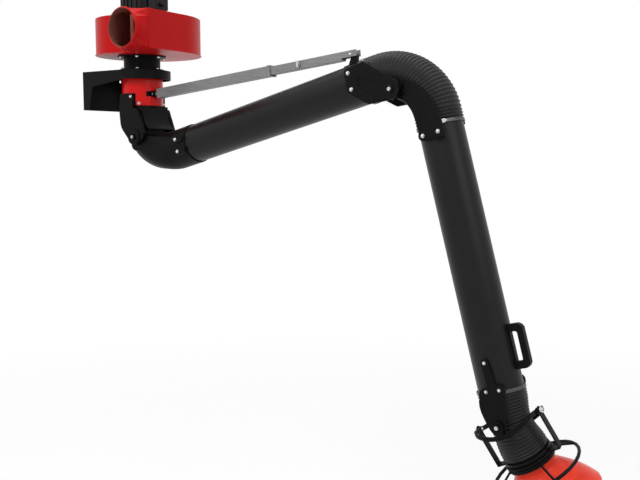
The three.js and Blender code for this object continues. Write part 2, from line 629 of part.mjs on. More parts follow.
// Shoulder yoke: ring in the collar, recessed duct box and two cheeks
const sides = [['front', -1], ['back', 1]];
const span = (sign, y0, y1) => (sign < 0 ? [-y1, -y0] : [y0, y1]);
const earOut = CHEEK_Y - FIT - FRICTION_T - FIT;
const yokeTop = collarTop - YOKE_TOP;
function roundedBox(half, corner, z0, z1) {
  const k = half - corner;
  return slab(hull([[k, k], [-k, k], [-k, -k], [k, -k]].flatMap(([x, y]) => circle(x, y, corner, 16))), z0, z1);
}
function shoulderYoke() {
  const ring = revolve([
    [SOCKET_R - SOCKET_WALL, yokeTop - 5], [SOCKET_R, yokeTop - 5], [SOCKET_R, collarTop - SOCKET_TOP],
    [SOCKET_R - SOCKET_WALL, collarTop - SOCKET_TOP],
  ]);
  const slotZ = collarTop - SLOT_DROP;
  const notch = block(SOCKET_R / 3, SOCKET_R + 1, -SLOT_W / 2 - 2, SLOT_W / 2 + 2, slotZ - SLOT_H / 2 - 5, collarTop);
  const boxEnd = SHOULDER_Z + YOKE_END;
  const box = cut(
    roundedBox(YOKE_HALF, YOKE_CORNER, boxEnd, yokeTop),
    roundedBox(YOKE_HALF - YOKE_WALL, YOKE_CORNER - YOKE_WALL, boxEnd - 1, yokeTop + 1),
  );
  const sweep = bar(V3(SHOULDER_OUT, -CHEEK_Y, SHOULDER_Z), V3(SHOULDER_OUT, CHEEK_Y, SHOULDER_Z), YOKE_SWEEP, ROUND);
  const beyond = block(SHOULDER_OUT + 4, YOKE_SWEEP * 2, -CHEEK_Y - 1, CHEEK_Y + 1, -2 * YOKE_SWEEP + SHOULDER_Z, 0);
  let yoke = cut(add(cut(ring, notch), box), cut(sweep, beyond));
  const waist = collarEdge - CHEEK_WAIST;
  for (const [, sign] of sides) {
    const tab = [
      [-CHEEK_TAB, collarEdge - FIT], [CHEEK_TAB, collarEdge - FIT],
      [CHEEK_TAB, waist + 6], [-CHEEK_BACK, waist + 6],
    ];
    const lower = web([8 - CHEEK_BACK, waist, 8], [CHEEK_FRONT - 8, waist, 8], [SHOULDER_OUT, SHOULDER_Z, BOSS_R]);
    const [c0, c1] = span(sign, CHEEK_Y, CHEEK_Y + CHEEK_T);
    const [b0, b1] = span(sign, CHEEK_Y, CHEEK_Y + CHEEK_T + BOSS_RISE);
    const [s0, s1] = span(sign, YOKE_HALF - YOKE_WALL, CHEEK_Y + 1);
    const boss = prism(circle(SHOULDER_OUT, SHOULDER_Z, BOSS_R, 24), b0, b1);
    const spacer = prism([
      [-CHEEK_TAB, yokeTop - 2], [CHEEK_TAB, yokeTop - 2], [CHEEK_TAB, waist - 20], [4 - CHEEK_TAB, waist - 20],
    ], s0, s1);
    const hole = prism(circle(SHOULDER_OUT, SHOULDER_Z, clear(PIN_R + FIT, ROUND_SMALL)), b0 - 1, b1 + 1);
    yoke = add(yoke, cut(add(prism(tab, c0, c1), prism(lower, c0, c1), boss), hole), spacer);
  }
  return yoke;
}
piece('shoulder_yoke', onAxis(shoulderYoke()), BLACK);

// Headed pin along y through a pivot
function pivotPin(at, sign, y0, y1, r = PIN_R, headR = PIN_HEAD_R) {
  const head = bar(V3(at.x, sign * (y1 + FIT), at.z), V3(at.x, sign * (y1 + FIT + PIN_HEAD_H), at.z), headR);
  return add(bar(V3(at.x, sign * y0, at.z), V3(at.x, sign * (y1 + FIT + 1), at.z), r), head);
}
const washer = (at, sign, y0, r, thick) => {
  const [w0, w1] = span(sign, y0, y0 + thick);
  return prism(circle(at.x, at.z, r, 20), w0, w1, [circle(at.x, at.z, clear(PIN_R + FIT, ROUND_SMALL))]);
};
for (const [side, sign] of sides) {
  const pin = pivotPin(shoulder, sign, earOut - EAR_T, CHEEK_Y + CHEEK_T + BOSS_RISE);
  piece(`shoulder_pin_${side}`, pin, ZINC);
}

// Shoulder hose between the yoke's box and the elbow's socket
const ELBOW_FACETS = 24;
const elbowBore = (ELBOW_R - ELBOW_WALL) * Math.cos(Math.PI / ELBOW_FACETS);
const bendCentre = innerFoot.clone().addScaledVector(along, HEEL_OUT).addScaledVector(above, HEEL_BEND - ELBOW_R);
function shoulderRoute() {
  const r = YOKE_HALF - YOKE_WALL - 2;
  const reach = bendCentre.x - WALL_REACH + r;
  const top = yokeTop - 14;
  const lead = top - bendCentre.z;
  const turn = rad(90 + INNER_PITCH);
  const bend = reach * turn;
  const tail = TUBE_FROM - HEEL_OUT - 2;
  const lip = innerFoot.clone().addScaledVector(along, RIM_LIP).addScaledVector(above, ELBOW_R);
  const innerEnd = innerFoot.clone().addScaledVector(along, HEEL_OUT).addScaledVector(above, r);
  const wallX = WALL_REACH + r;
  const edge = SHOULDER_Z + YOKE_END;
  const inside = new THREE.CatmullRomCurve3([
    V3(wallX, 0, bendCentre.z), V3(wallX - 1, 0, edge + 20), V3(wallX + 1, 0, edge - 3),
    V3(lip.x - 10, 0, lip.z - 8), V3(lip.x + 12, 0, lip.z - 11), innerEnd,
  ]);
  const between = (o, i) => {
    const a = o.clone().sub(i);
    const stretch = a.length() / 2 / r;
    return { c: o.clone().add(i).multiplyScalar(0.5), a: a.normalize(), b: Y, stretch };
  };
  const at = (s) => {
    if (s <= lead) return between(V3(WALL_REACH - r, 0, top - s), V3(wallX, 0, top - s));
    if (s < lead + bend) {
      const f = (s - lead) / bend;
      const t = Math.PI + turn * f;
      const outside = bendCentre.clone().add(V3(reach * Math.cos(t), 0, reach * Math.sin(t)));
      return between(outside, inside.getPoint(f));
    }
    const c = innerFoot.clone().addScaledVector(along, HEEL_OUT + s - lead - bend);
    return { c, a: above.clone().negate(), b: Y };
  };
  return { at, length: lead + bend + tail, r };
}
const shoulderRun = shoulderRoute();
piece('shoulder_hose', hose(shoulderRun, {
  crest: shoulderRun.r, valley: shoulderRun.r - 2.6, bore: shoulderRun.r - 7, pitch: HOSE_PITCH * 2.4, cuff: HOSE_CUFF / 2,
  ends: [YOKE_HALF - YOKE_WALL - FIT, elbowBore - FIT], seats: [shoulderRun.r - 3, shoulderRun.r],
  lap: HOSE_CUFF / 2, n: ROUND_HOSE,
}), RUBBER);

// Balance rod: square sleeve on the collar, slider with a fork, and the spring cylinder inside them
const rodOf = (s) => into(rodFrame, s);
const squareBar = (half, x0, x1) => block(x0, x1, -half, half, -half, half);
function rodSleeve() {
  const inner = SLEEVE_HALF - SLEEVE_WALL;
  const tongue = prism(web([0, 0, KNUCKLE_R], [SLEEVE_FROM, 0, KNUCKLE_R]), -SLEEVE_HALF, SLEEVE_HALF);
  const shell = cut(
    add(squareBar(SLEEVE_HALF, SLEEVE_FROM, SLEEVE_TO), squareBar(SLEEVE_HALF + SLEEVE_BEAD, SLEEVE_TO - SLEEVE_BEAD_L, SLEEVE_TO)),
    squareBar(inner, SLEEVE_FROM + SLEEVE_WALL + 3, SLEEVE_TO + 1),
  );
  const eye = bar(V3(0, -SLEEVE_HALF - 1, 0), V3(0, SLEEVE_HALF + 1, 0), clear(ROD_PIN_R + FIT, ROUND_SMALL));
  return cut(add(shell, tongue), eye);
}
piece('rod_sleeve', rodOf(rodSleeve()), STEEL);
const sliderHalf = SLEEVE_HALF - SLEEVE_WALL - FIT;
const plugAt = SLEEVE_FROM + SLEEVE_WALL + 3 + FIT;
piece('balance_cylinder', rodOf(cut(
  add(squareBar(sliderHalf, plugAt, plugAt + SPRING_PLUG), bar(V3(plugAt + 1, 0, 0), V3(SPRING_TO, 0, 0), SPRING_R)),
  bar(V3(plugAt + 4, 0, 0), V3(SPRING_TO + 1, 0, 0), clear(PISTON_R + FIT, ROUND_SMALL)),
)), ZINC);
const forkHalf = sliderHalf - SLIDER_WALL;
const sliderEnd = ROD_LENGTH + FORK_END;
piece('rod_slider', rodOf(cut(
  squareBar(sliderHalf, SLIDER_FROM, sliderEnd),
  squareBar(forkHalf, SLIDER_FROM - 1, sliderEnd + 1),
  block(sliderEnd - FORK_L, sliderEnd + 1, -forkHalf, forkHalf, -sliderHalf - 1, sliderHalf + 1),
  block(sliderEnd - FORK_L, sliderEnd + 1, -SLEEVE_HALF, SLEEVE_HALF, -SLEEVE_HALF, FORK_CUT - sliderHalf),
)), STEEL);
piece('balance_rod', rodOf(add(
  bar(V3(PISTON_FROM, 0, 0), V3(SLIDER_FROM + 2, 0, 0), PISTON_R),
  squareBar(forkHalf - FIT, SLIDER_FROM, SLIDER_FROM + SPRING_PLUG),
)), ZINC);

// Shoulder elbow: round shell from the open mouth at the pivot to the inner tube's socket
const innerOf = (s) => into(innerFrame, s);
function elbowRing(f, inset, lift = 0) {
  const mouth = Math.PI + Math.asin((HEEL_BEND - 2 * ELBOW_R) / HEEL_BEND);
  const t = mouth + (1.5 * Math.PI - mouth) * f;
  const outside = V3(HEEL_OUT + HEEL_BEND * Math.cos(t), 0, HEEL_BEND - ELBOW_R + HEEL_BEND * Math.sin(t));
  const inside = V3(RIM_LIP + (HEEL_OUT - RIM_LIP) * f, 0, ELBOW_R);
  const middleOf = outside.clone().add(inside).multiplyScalar(0.5);
  const half = outside.distanceTo(inside) / 2 - inset;
  const axis = inside.clone().sub(outside).normalize();
  const side = earOut + (ELBOW_R - earOut) * f ** 2;
  const power = 2 / (4 - 2 * f);
  const bulge = (v) => Math.sign(v) * Math.abs(v) ** power;
  return Array.from({ length: ELBOW_FACETS }, (_, i) => {
    const w = (2 * Math.PI * (i + 0.5)) / ELBOW_FACETS;
    const p = middleOf.clone().addScaledVector(axis, half * bulge(Math.cos(w)));
    return p.add(V3(0, (side - inset) * bulge(Math.sin(w)), lift));
  });
}
function shoulderElbow() {
  const steps = [0, 0.2, 0.4, 0.6, 0.8, 1];
  const socket = (inset, s) => elbowRing(1, inset).map((p) => p.setX(s));
  const skin = loft([...steps.map((f) => elbowRing(f, 0)), socket(0, SOCKET_END)]);
  const room = loft([
    elbowRing(0, ELBOW_WALL, 2 * ELBOW_WALL), ...steps.map((f) => elbowRing(f, ELBOW_WALL)), socket(ELBOW_WALL, SOCKET_END + 1),
  ]);
  const seat = bar(V3(TUBE_FROM, 0, 0), V3(SOCKET_END + 1, 0, 0), clear(DUCT_R + FIT, ROUND), ROUND);
  let shell = skin;
  for (const [, sign] of sides) {
    const [l0, l1] = span(sign, DUCT_R - 20, ELBOW_R + LUG_T);
    for (const t of [-LUG_UP, LUG_UP]) {
      shell = add(shell, prism(web([SOCKET_END - LUG_BACK, t, LUG_R], [SOCKET_END - LUG_R, t, LUG_R]), l0, l1));
    }
  }
  shell = cut(shell, room, seat);
  for (const [, sign] of sides) {
    const [e0, e1] = span(sign, earOut - EAR_T + 0.5, earOut);
    const ear = web([0, SHOULDER_DROP, EAR_R], [-16, ELBOW_R - 16, EAR_R], [12, ELBOW_R - 16, EAR_R - 6]);
    const hole = prism(circle(0, SHOULDER_DROP, clear(PIN_R + FIT, ROUND_SMALL)), e0 - 1, e1 + 1);
    shell = add(shell, cut(prism(ear, e0, e1), hole));
  }
  return shell;
}
piece('shoulder_elbow', innerOf(shoulderElbow()), BLACK);
for (const [side, sign] of sides) {
  piece(`shoulder_disc_${side}`, washer(shoulder, sign, earOut + FIT, DISC_R, FRICTION_T), STEEL);
}
const tube = (from, to) => cut(
  bar(from, to, DUCT_R, ROUND),
  bar(from.clone().lerp(to, -0.01), to.clone().lerp(from, -0.01), DUCT_R - DUCT_WALL, ROUND),
);
const innerEnd = INNER_SPAN - INNER_STOP;
piece('inner_tube', innerOf(tube(V3(TUBE_FROM + FIT, 0, 0), V3(innerEnd, 0, 0))), DUCT_BLACK);

// Middle hose: straight over both tubes and bent between them
function bendRoute(corner, dirIn, dirOut, radius, from, to) {
  const turn = dirIn.angleTo(dirOut);
  const tangent = radius * Math.tan(turn / 2);
  const start = corner.clone().addScaledVector(dirIn, -tangent);
  const side = dirOut.clone().addScaledVector(dirIn, -dirOut.dot(dirIn)).normalize();
  const centre = start.clone().addScaledVector(side, radius);
  const lead = from - tangent;
  const bend = radius * turn;
  const at = (s) => {
    const t = THREE.MathUtils.clamp((s - lead) / radius, 0, turn);
    const a = side.clone().multiplyScalar(-Math.cos(t)).addScaledVector(dirIn, Math.sin(t));
    const heading = dirIn.clone().multiplyScalar(Math.cos(t)).addScaledVector(side, Math.sin(t));
    const rest = s - lead - radius * t;
    return { c: centre.clone().addScaledVector(a, radius).addScaledVector(heading, rest), a, b: Y };
  };
  return { at, length: lead + bend + to - tangent };
}
const down = upward.clone().negate();
const cornerShift = (() => {
  const gap = outerFoot.clone().sub(innerFoot);
  const det = along.x * upward.z - along.z * upward.x;
  return (gap.x * upward.z - gap.z * upward.x) / det;
})();
const corner = innerFoot.clone().addScaledVector(along, cornerShift);
const cornerUp = corner.clone().sub(outerFoot).dot(upward);
const hoseFrom = innerEnd - HOSE_LAP;
const hoseTo = -OUTER_TOP - HOSE_LAP;
const hoseSeat = clear(DUCT_R + FIT, ROUND_HOSE);
const hoseShape = {
  crest: HOSE_CREST, valley: HOSE_VALLEY, bore: HOSE_BORE, pitch: HOSE_PITCH, cuff: HOSE_CUFF,
  ends: [HOSE_VALLEY, HOSE_VALLEY], seats: [hoseSeat, hoseSeat], lap: HOSE_LAP + 3, n: ROUND_HOSE,
};
const middleRun = bendRoute(corner, along, down, HOSE_BEND, cornerShift - hoseFrom, cornerUp - hoseTo);
piece('elbow_hose', hose(middleRun, hoseShape), RUBBER);

// Clamp band on a hose's cuff
function clamp(route, from) {
  const { c, a, b } = route.at(from);
  const axis = a.clone().cross(b).normalize();
  const r = clear(HOSE_VALLEY + FIT, ROUND);
  return into(frameOf(a, b, axis, c), revolve([
    [r, -CLAMP_W / 2], [r + CLAMP_T, -CLAMP_W / 2], [r + CLAMP_T, CLAMP_W / 2], [r, CLAMP_W / 2],
  ]));
}
const clampAt = CLAMP_W / 2 + 2;
piece('elbow_clamp_upper', clamp(middleRun, clampAt), STEEL);

// Cheeks of the middle joint on the inner tube
const hoseRoom = HOSE_CREST + 2 * FIT;
const linkIn = hoseRoom;
const linkOut = linkIn + JOINT_T * 0.7;
const cheekIn = linkOut + FRICTION_T + 2 * FIT;
const cheekOut = cheekIn + JOINT_T * 0.7;
function elbowCheek(sign) {
  const pad = INNER_SPAN - MID_BOLT_BACK;
  const outline = web(
    [pad, BOLT_UP, PAD_R], [pad, -BOLT_UP, PAD_R], [INNER_SPAN - 93, BOLT_UP + 10, 12],
    [INNER_SPAN - 98, -MIDDLE_DROP - 11, 14], [INNER_SPAN, -MIDDLE_DROP, MID_BOSS_R],
  );
  const foot = web([pad, BOLT_UP, PAD_R], [pad, -BOLT_UP, PAD_R], [INNER_SPAN - 100, BOLT_UP + 10, 12], [INNER_SPAN - 100, -BOLT_UP, 12]);
  const [p0, p1] = span(sign, cheekIn, cheekOut);
  const [f0, f1] = span(sign, DUCT_R - 14, cheekIn + 1);
  const [b0, b1] = span(sign, cheekIn, cheekOut + MID_BOSS_H / 2);
  const [r0, r1] = span(sign, cheekOut - RECESS, cheekOut + 1);
  const panel = web(
    [INNER_SPAN - 122, -3, 6], [INNER_SPAN - 123, -29, 6], [INNER_SPAN - 74, -88, 8],
    [INNER_SPAN - 46, -MIDDLE_DROP + 7, 5], [INNER_SPAN - 36, -45, 5], [INNER_SPAN - 76, -16, 6],
  );
  const hole = prism(circle(INNER_SPAN, -MIDDLE_DROP, clear(PIN_R + FIT, ROUND_SMALL)), b0 - 1, b1 + 1);
  const boss = prism(circle(INNER_SPAN, -MIDDLE_DROP, MID_BOSS_R, 24), b0, b1);
  const tubeRoom = bar(V3(0, 0, 0), V3(INNER_SPAN, 0, 0), clear(DUCT_R + FIT, ROUND), ROUND);
  const ribRoom = bar(V3(hoseFrom - 1, 0, 0), V3(INNER_SPAN + 50, 0, 0), clear(hoseRoom, ROUND), ROUND);
  const recess = cut(prism(panel, r0, r1), prism(circle(INNER_SPAN, -MIDDLE_DROP, MID_BOSS_R + 3, 24), r0 - 1, r1 + 1));
  return cut(add(prism(outline, p0, p1), prism(foot, f0, f1), boss), hole, tubeRoom, ribRoom, recess);
}
for (const [side, sign] of sides) {
  piece(`elbow_cheek_${side}`, innerOf(elbowCheek(sign)), BLACK);
  piece(`elbow_pin_${side}`, pivotPin(middle, sign, linkIn, cheekOut + MID_BOSS_H / 2), ZINC);
}

// Lever on the inner tube: its pin floats in the slider's fork
const fork = rodFoot.clone().addScaledVector(flat(ROD_PITCH), ROD_LENGTH);
const leverPin = fork.clone().addScaledVector(flat(ROD_PITCH + 90), -LEVER_PIN_DROP);
function rodLever() {
  const local = leverPin.clone().sub(innerFoot);
  const s = local.dot(along);
  const t = local.dot(above);
  const finger = web([s, t, LEVER_HEAD_R], [s - LEVER_FOOT / 2, DUCT_R + 4, 6], [s, DUCT_R + 4, 6]);
  const foot = web([s - LEVER_FOOT, DUCT_R - 8, 12], [s, DUCT_R - 8, 12]);
  const room = bar(V3(s - 80, 0, 0), V3(s + 80, 0, 0), clear(DUCT_R + FIT, ROUND), ROUND);
  const pin = bar(V3(s, -forkHalf + FIT, t), V3(s, forkHalf - FIT, t), LEVER_PIN_R);
  return add(cut(add(prism(finger, -LEVER_HALF, LEVER_HALF), prism(foot, 1 - forkHalf, forkHalf - 1)), room), pin);
}
piece('rod_lever', innerOf(rodLever()), BLACK);

// Outer arm: tube, curved links, handle and wrist plates
const outerOf = (s) => into(outerFrame, s);
const outerEnd = OUTER_SPAN - OUTER_STOP;
piece('outer_tube', outerOf(tube(V3(0, 0, -OUTER_TOP), V3(0, 0, -outerEnd))), DUCT_BLACK);
piece('elbow_clamp_lower', clamp(middleRun, middleRun.length - clampAt), STEEL);
function elbowLink(sign) {
  const knots = 5;
  const knot = (i) => {
    const t = ((Math.PI / 2) * i) / knots;
    return [MIDDLE_OUT * 1.03 * Math.sin(t) - MIDDLE_OUT, -165 * (1 - Math.cos(t)), LINK_R + 2.8 * i];
  };
  const [l0, l1] = span(sign, linkIn, linkOut);
  const [f0, f1] = span(sign, DUCT_R - 14, linkOut);
  const strips = Array.from({ length: knots }, (_, i) => prism(web(knot(i), knot(i + 1)), l0, l1));
  const pad = prism(web(knot(knots), [-BOLT_UP, -LINK_FOOT, PAD_R], [BOLT_UP, -LINK_FOOT, PAD_R]), l0, l1);
  const foot = prism(web([-BOLT_UP, -LINK_FOOT, PAD_R], [BOLT_UP, -LINK_FOOT, PAD_R]), f0, f1);
  const hole = prism(circle(-MIDDLE_OUT, 0, clear(PIN_R + FIT, ROUND_SMALL)), l0 - 1, l1 + 1);
  const tubeRoom = bar(V3(0, 0, -OUTER_SPAN), V3(0, 0, 0), clear(DUCT_R + FIT, ROUND), ROUND);
  const ribRoom = bar(V3(0, 0, hoseTo - 1), V3(0, 0, 0), clear(hoseRoom - FIT, ROUND), ROUND);
  return cut(add(pad, foot, ...strips), hole, tubeRoom, ribRoom);
}
for (const [side, sign] of sides) {
  piece(`elbow_link_${side}`, outerOf(elbowLink(sign)), BLACK);
  piece(`elbow_disc_${side}`, washer(middle, sign, linkOut + FIT, LINK_R - 4, FRICTION_T), STEEL);
}
function grabHandle() {
  const low = -GRIP_TOP - GRIP_L;
  const reach = DUCT_R + GRIP_REACH;
  const outline = web(
    [DUCT_R - 20, low + 6, 6], [DUCT_R - 20, -GRIP_TOP - 6, 6],
    [reach - GRIP_BAR, -GRIP_TOP - GRIP_BAR, GRIP_BAR], [reach - GRIP_BAR, low + GRIP_BAR, GRIP_BAR],
  );
  const gap = web(
    [DUCT_R - 10, low + GRIP_LEG + 8, 8], [DUCT_R - 10, -GRIP_TOP - GRIP_LEG - 8, 8],
    [reach - GRIP_BAR - 8, -GRIP_TOP - GRIP_LEG - 8, 8], [reach - GRIP_BAR - 8, low + GRIP_LEG + 8, 8],
  );
  const foot = block(DUCT_R - 20, DUCT_R + 3, -GRIP_HALF, GRIP_HALF, low + 2, -GRIP_TOP - 2);
  const room = bar(V3(0, 0, low - 5), V3(0, 0, 5 - GRIP_TOP), clear(DUCT_R + FIT, ROUND), ROUND);
  const handle = cut(prism(outline, -GRIP_HALF, GRIP_HALF), prism(gap, -GRIP_HALF - 1, GRIP_HALF + 1));
  return cut(add(handle, foot), room);
}
piece('grab_handle', outerOf(grabHandle()), BLACK);

// Wrist hose from the outer tube to the hood frame
const ax = hoodUp.clone().negate();
function wristRoute() {
  const start = wrist.clone().addScaledVector(upward, OUTER_STOP + HOSE_LAP - 10);
  const lead = HOSE_LAP - 6;
  const p0 = start.clone().addScaledVector(down, lead);
  const p3 = wrist.clone().addScaledVector(ax, FRAME_TOP);
  const tail = FRAME_FLANGE - FRAME_TOP - 1;
  const curve = new THREE.CubicBezierCurve3(
    p0, p0.clone().addScaledVector(down, WRIST_PULL), p3.clone().addScaledVector(ax, -WRIST_PULL / 3), p3,
  );
  const bend = curve.getLength();
  const frameAt = (c, heading, neck = 1) => {
    const b = Y.clone().addScaledVector(heading, -heading.y).normalize();
    return { c, a: b.clone().cross(heading).normalize(), b, stretch: neck, neck };
  };
  const at = (s) => {
    if (s <= lead) return frameAt(start.clone().addScaledVector(down, s), down);
    if (s < lead + bend) {
      const f = (s - lead) / bend;
      return frameAt(curve.getPointAt(f), curve.getTangentAt(f), 1 - WRIST_NECK * Math.sin(Math.PI * f) ** 2);
    }
    return frameAt(p3.clone().addScaledVector(ax, s - lead - bend), ax);
  };
  return { at, length: lead + bend + tail };
}
const wristRun = wristRoute();
piece('wrist_hose', hose(wristRun, { ...hoseShape, crest: HOSE_CREST - 1, lap: HOSE_LAP - 7 }), RUBBER);
piece('wrist_clamp_upper', clamp(wristRun, clampAt), STEEL);
const plateIn = hoseRoom;
const plateOut = plateIn + WRIST_T;
function wristPlate(sign) {
  const strip = web([3, STRIP_TOP - OUTER_SPAN, STRIP_R], [10, STRIP_TOP - OUTER_SPAN - 91, STRIP_R + 2]);
  const wide = web([-24, 110 - OUTER_SPAN, 20], [36, 120 - OUTER_SPAN, 20], [0, -OUTER_SPAN, WRIST_EYE_R]);
  const [p0, p1] = span(sign, DUCT_R - 14, plateOut);
  const [h0, h1] = span(sign, plateIn, plateOut);
  const eye = prism(wide, h0, h1);
  const foot = prism(web([-24, 118 - OUTER_SPAN, 16], [36, 122 - OUTER_SPAN, 16]), p0, p1);
  const hole = prism(circle(0, -OUTER_SPAN, clear(PIN_R + FIT, ROUND_SMALL)), p0 - 1, p1 + 1);
  const tubeRoom = bar(V3(0, 0, -OUTER_SPAN), V3(0, 0, 0), clear(DUCT_R + FIT, ROUND), ROUND);
  const low = OUTER_STOP + HOSE_LAP - 9 - OUTER_SPAN;
  const ribRoom = bar(V3(0, 0, low), V3(0, 0, -OUTER_SPAN - 60), clear(plateIn - FIT, ROUND), ROUND);
  return cut(add(prism(strip, p0, p1), eye, foot), hole, tubeRoom, ribRoom);
}
const yokeIn = plateOut + 2 * RUN;
const yokeOut = yokeIn + LOOP_T;
for (const [side, sign] of sides) {
  piece(`wrist_plate_${side}`, outerOf(wristPlate(sign)), BLACK);
  piece(`wrist_pin_${side}`, pivotPin(wrist, sign, plateIn, yokeOut), ZINC);
}

// Yoke loop: hangs on the wrist pins and carries the hood on pins across the arm
function wristYoke() {
  const n = 32;
  const rings = Array.from({ length: n }, (_, i) => {
    const t = (2 * Math.PI * i) / n;
    const drop = -LOOP_DROP * Math.sin(t) ** 2;
    const outX = Math.cos(t);
    const outY = Math.sign(Math.sin(t)) * Math.abs(Math.sin(t)) ** LOOP_SQUARE;
    const reach = (k, z) => V3((LOOP_OUT + k) * outX, ((yokeIn + yokeOut) / 2 + k) * outY, drop + z);
    return [
      reach(-LOOP_T / 2, -LOOP_W / 2), reach(LOOP_T / 2, -LOOP_W / 2),
      reach(LOOP_T / 2, LOOP_W / 2), reach(-LOOP_T / 2, LOOP_W / 2),
    ];
  });
  let yoke = loft(rings, true);
  for (const [, sign] of sides) {
    const [y0, y1] = span(sign, yokeIn, yokeOut);
    yoke = add(yoke, prism(web([0, 0, YOKE_EYE_R], [0, -LOOP_DROP, LOOP_W / 2]), y0, y1));
    yoke = cut(yoke, prism(circle(0, 0, clear(PIN_R + FIT, ROUND_SMALL)), y0 - 1, y1 + 1));
  }
  for (const sign of [-1, 1]) {
    const outX = LOOP_OUT + LOOP_T / 2 + 3;
    yoke = add(yoke, bar(V3(sign * (LOOP_OUT - 2), 0, 0), V3(sign * outX, 0, 0), LOOP_W * 0.7));
    const hole = bar(V3(sign * (LOOP_OUT - 10), 0, 0), V3(sign * (outX + 1), 0, 0), clear(HOOD_PIN_R + FIT, ROUND_SMALL));
    yoke = cut(yoke, hole);
  }
  return yoke;
}
piece('wrist_yoke', into(yokeFrame, wristYoke()), BLACK);

// Hood frame with its straps, the flared hood and the ring handle
const hoodOf = (s) => into(hoodFrame, s);
const strapIn = LOOP_OUT + LOOP_T / 2 + 3 + FIT;
const flangeLow = FRAME_FLANGE + FRAME_FLANGE_T;
function hoodFrameRing() {
  const bore = DUCT_R - SPIGOT_WALL;
  const neckRoom = clear(HOOD_NECK_R + FIT, ROUND);
  let ring = revolve([
    [bore, -FRAME_TOP], [DUCT_R, -FRAME_TOP], [DUCT_R, -FRAME_FLANGE], [FRAME_FLANGE_R, -FRAME_FLANGE],
    [FRAME_FLANGE_R, -flangeLow], [FRAME_SKIRT_R, -flangeLow - 3], [FRAME_SKIRT_R, -FRAME_END],
    [neckRoom, -FRAME_END], [neckRoom, -flangeLow - 1], [bore, -flangeLow - 1],
  ]);
  for (const sign of [-1, 1]) {
    const [x0, x1] = span(sign, strapIn, strapIn + STRAP_T);
    const [f0, f1] = span(sign, FRAME_FLANGE_R - 4, strapIn + STRAP_T);
    const strap = block(x0, x1, -STRAP_HALF, STRAP_HALF, -flangeLow, 0);
    const head = bar(V3(x0, 0, 0), V3(x1, 0, 0), STRAP_HALF);
    const foot = block(f0, f1, -STRAP_HALF, STRAP_HALF, -flangeLow, -flangeLow + STRAP_T);
    const hole = bar(V3(x0 - 1, 0, 0), V3(x1 + 1, 0, 0), clear(HOOD_PIN_R + FIT, ROUND_SMALL));
    ring = add(ring, cut(add(strap, head, foot), hole));
  }
  return ring;
}
piece('hood_frame', hoodOf(hoodFrameRing()), BLACK);
for (const [side, sign] of [['outer', 1], ['inner', -1]]) {
  const from = V3(sign * (LOOP_OUT - LOOP_T), 0, 0);
  const head = V3(sign * (strapIn + STRAP_T + FIT), 0, 0);
  const end = V3(sign * (strapIn + STRAP_T + FIT + PIN_HEAD_H), 0, 0);
  const pin = add(bar(from, head.clone().setX(head.x + sign), HOOD_PIN_R), bar(head, end, HOOD_PIN_R + 5));
  piece(`hood_pin_${side}`, hoodOf(pin), ZINC);
}
piece('wrist_clamp_lower', clamp(wristRun, wristRun.length - clampAt), STEEL);
function hoodShell() {
  const flare = new THREE.CubicBezierCurve(
    new THREE.Vector2(HOOD_NECK_R, -HOOD_NECK_END), new THREE.Vector2(HOOD_NECK_R + 4.5, -HOOD_NECK_END - 20),
    new THREE.Vector2(HOOD_MOUTH_R - 26, -HOOD_MOUTH + 73), new THREE.Vector2(HOOD_MOUTH_R, -HOOD_MOUTH),
  );
  const points = flare.getPoints(6).map((p) => [p.x, p.y]);
  const neckTop = -flangeLow - 1 - FIT;
  const outer = [[HOOD_NECK_R, neckTop], ...points];
  const inner = outer.map(([r, z]) => [r - HOOD_WALL, z]);
  const edge = [
    [HOOD_MOUTH_R + HOOD_BEAD, -HOOD_MOUTH + 1], [HOOD_MOUTH_R + HOOD_BEAD, -HOOD_MOUTH - 4],
    [HOOD_MOUTH_R - HOOD_WALL, -HOOD_MOUTH - 4],
  ];
  return revolve([...outer.slice(0, -1), ...edge, ...inner.reverse()]);
}
piece('hood_shell', hoodOf(hoodShell()), RED);
function ringHandle() {
  const torus = new THREE.TorusGeometry(RING_R, RING_TUBE, 6, ROUND);
  torus.translate(0, 0, -RING_AT);
  const bandIn = clear(FRAME_SKIRT_R + FIT, ROUND);
  const bandTop = -flangeLow - 4;
  const bandLow = -FRAME_END + 1;
  let ring = add(solid(torus), revolve([[bandIn, bandLow], [bandIn + 3, bandLow], [bandIn + 3, bandTop], [bandIn, bandTop]]));
  for (let i = 0; i < SPOKES; i += 1) {
    const t = rad(SPOKE_TURN) + (2 * Math.PI * i) / SPOKES;
    const out = V3(Math.cos(t), Math.sin(t), 0);
    const from = out.clone().multiplyScalar(bandIn + 1.5).setZ((bandTop + bandLow) / 2);
    const to = out.clone().multiplyScalar(RING_R).setZ(-RING_AT);
    ring = add(ring, bar(from.clone().addScaledVector(out, 0.5), to, SPOKE_R, 6));
  }
  return cut(ring, bar(V3(0, 0, -FRAME_END - 30), V3(0, 0, -flangeLow), bandIn, ROUND));
}
piece('hood_ring_handle', hoodOf(ringHandle()), BLACK);

const group = new THREE.Group();
group.name = 'fume_extraction_arm';
for (const m of parts) group.add(m);
export default group;
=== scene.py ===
"""Wall-mounted fume extraction arm: finishes, ribbed hoses, fasteners and a plain studio."""
import json
import math

import bmesh
import bpy
from bpy.props import FloatProperty, FloatVectorProperty, IntProperty, PointerProperty
from mathutils import Matrix, Vector
from mathutils.bvhtree import BVHTree


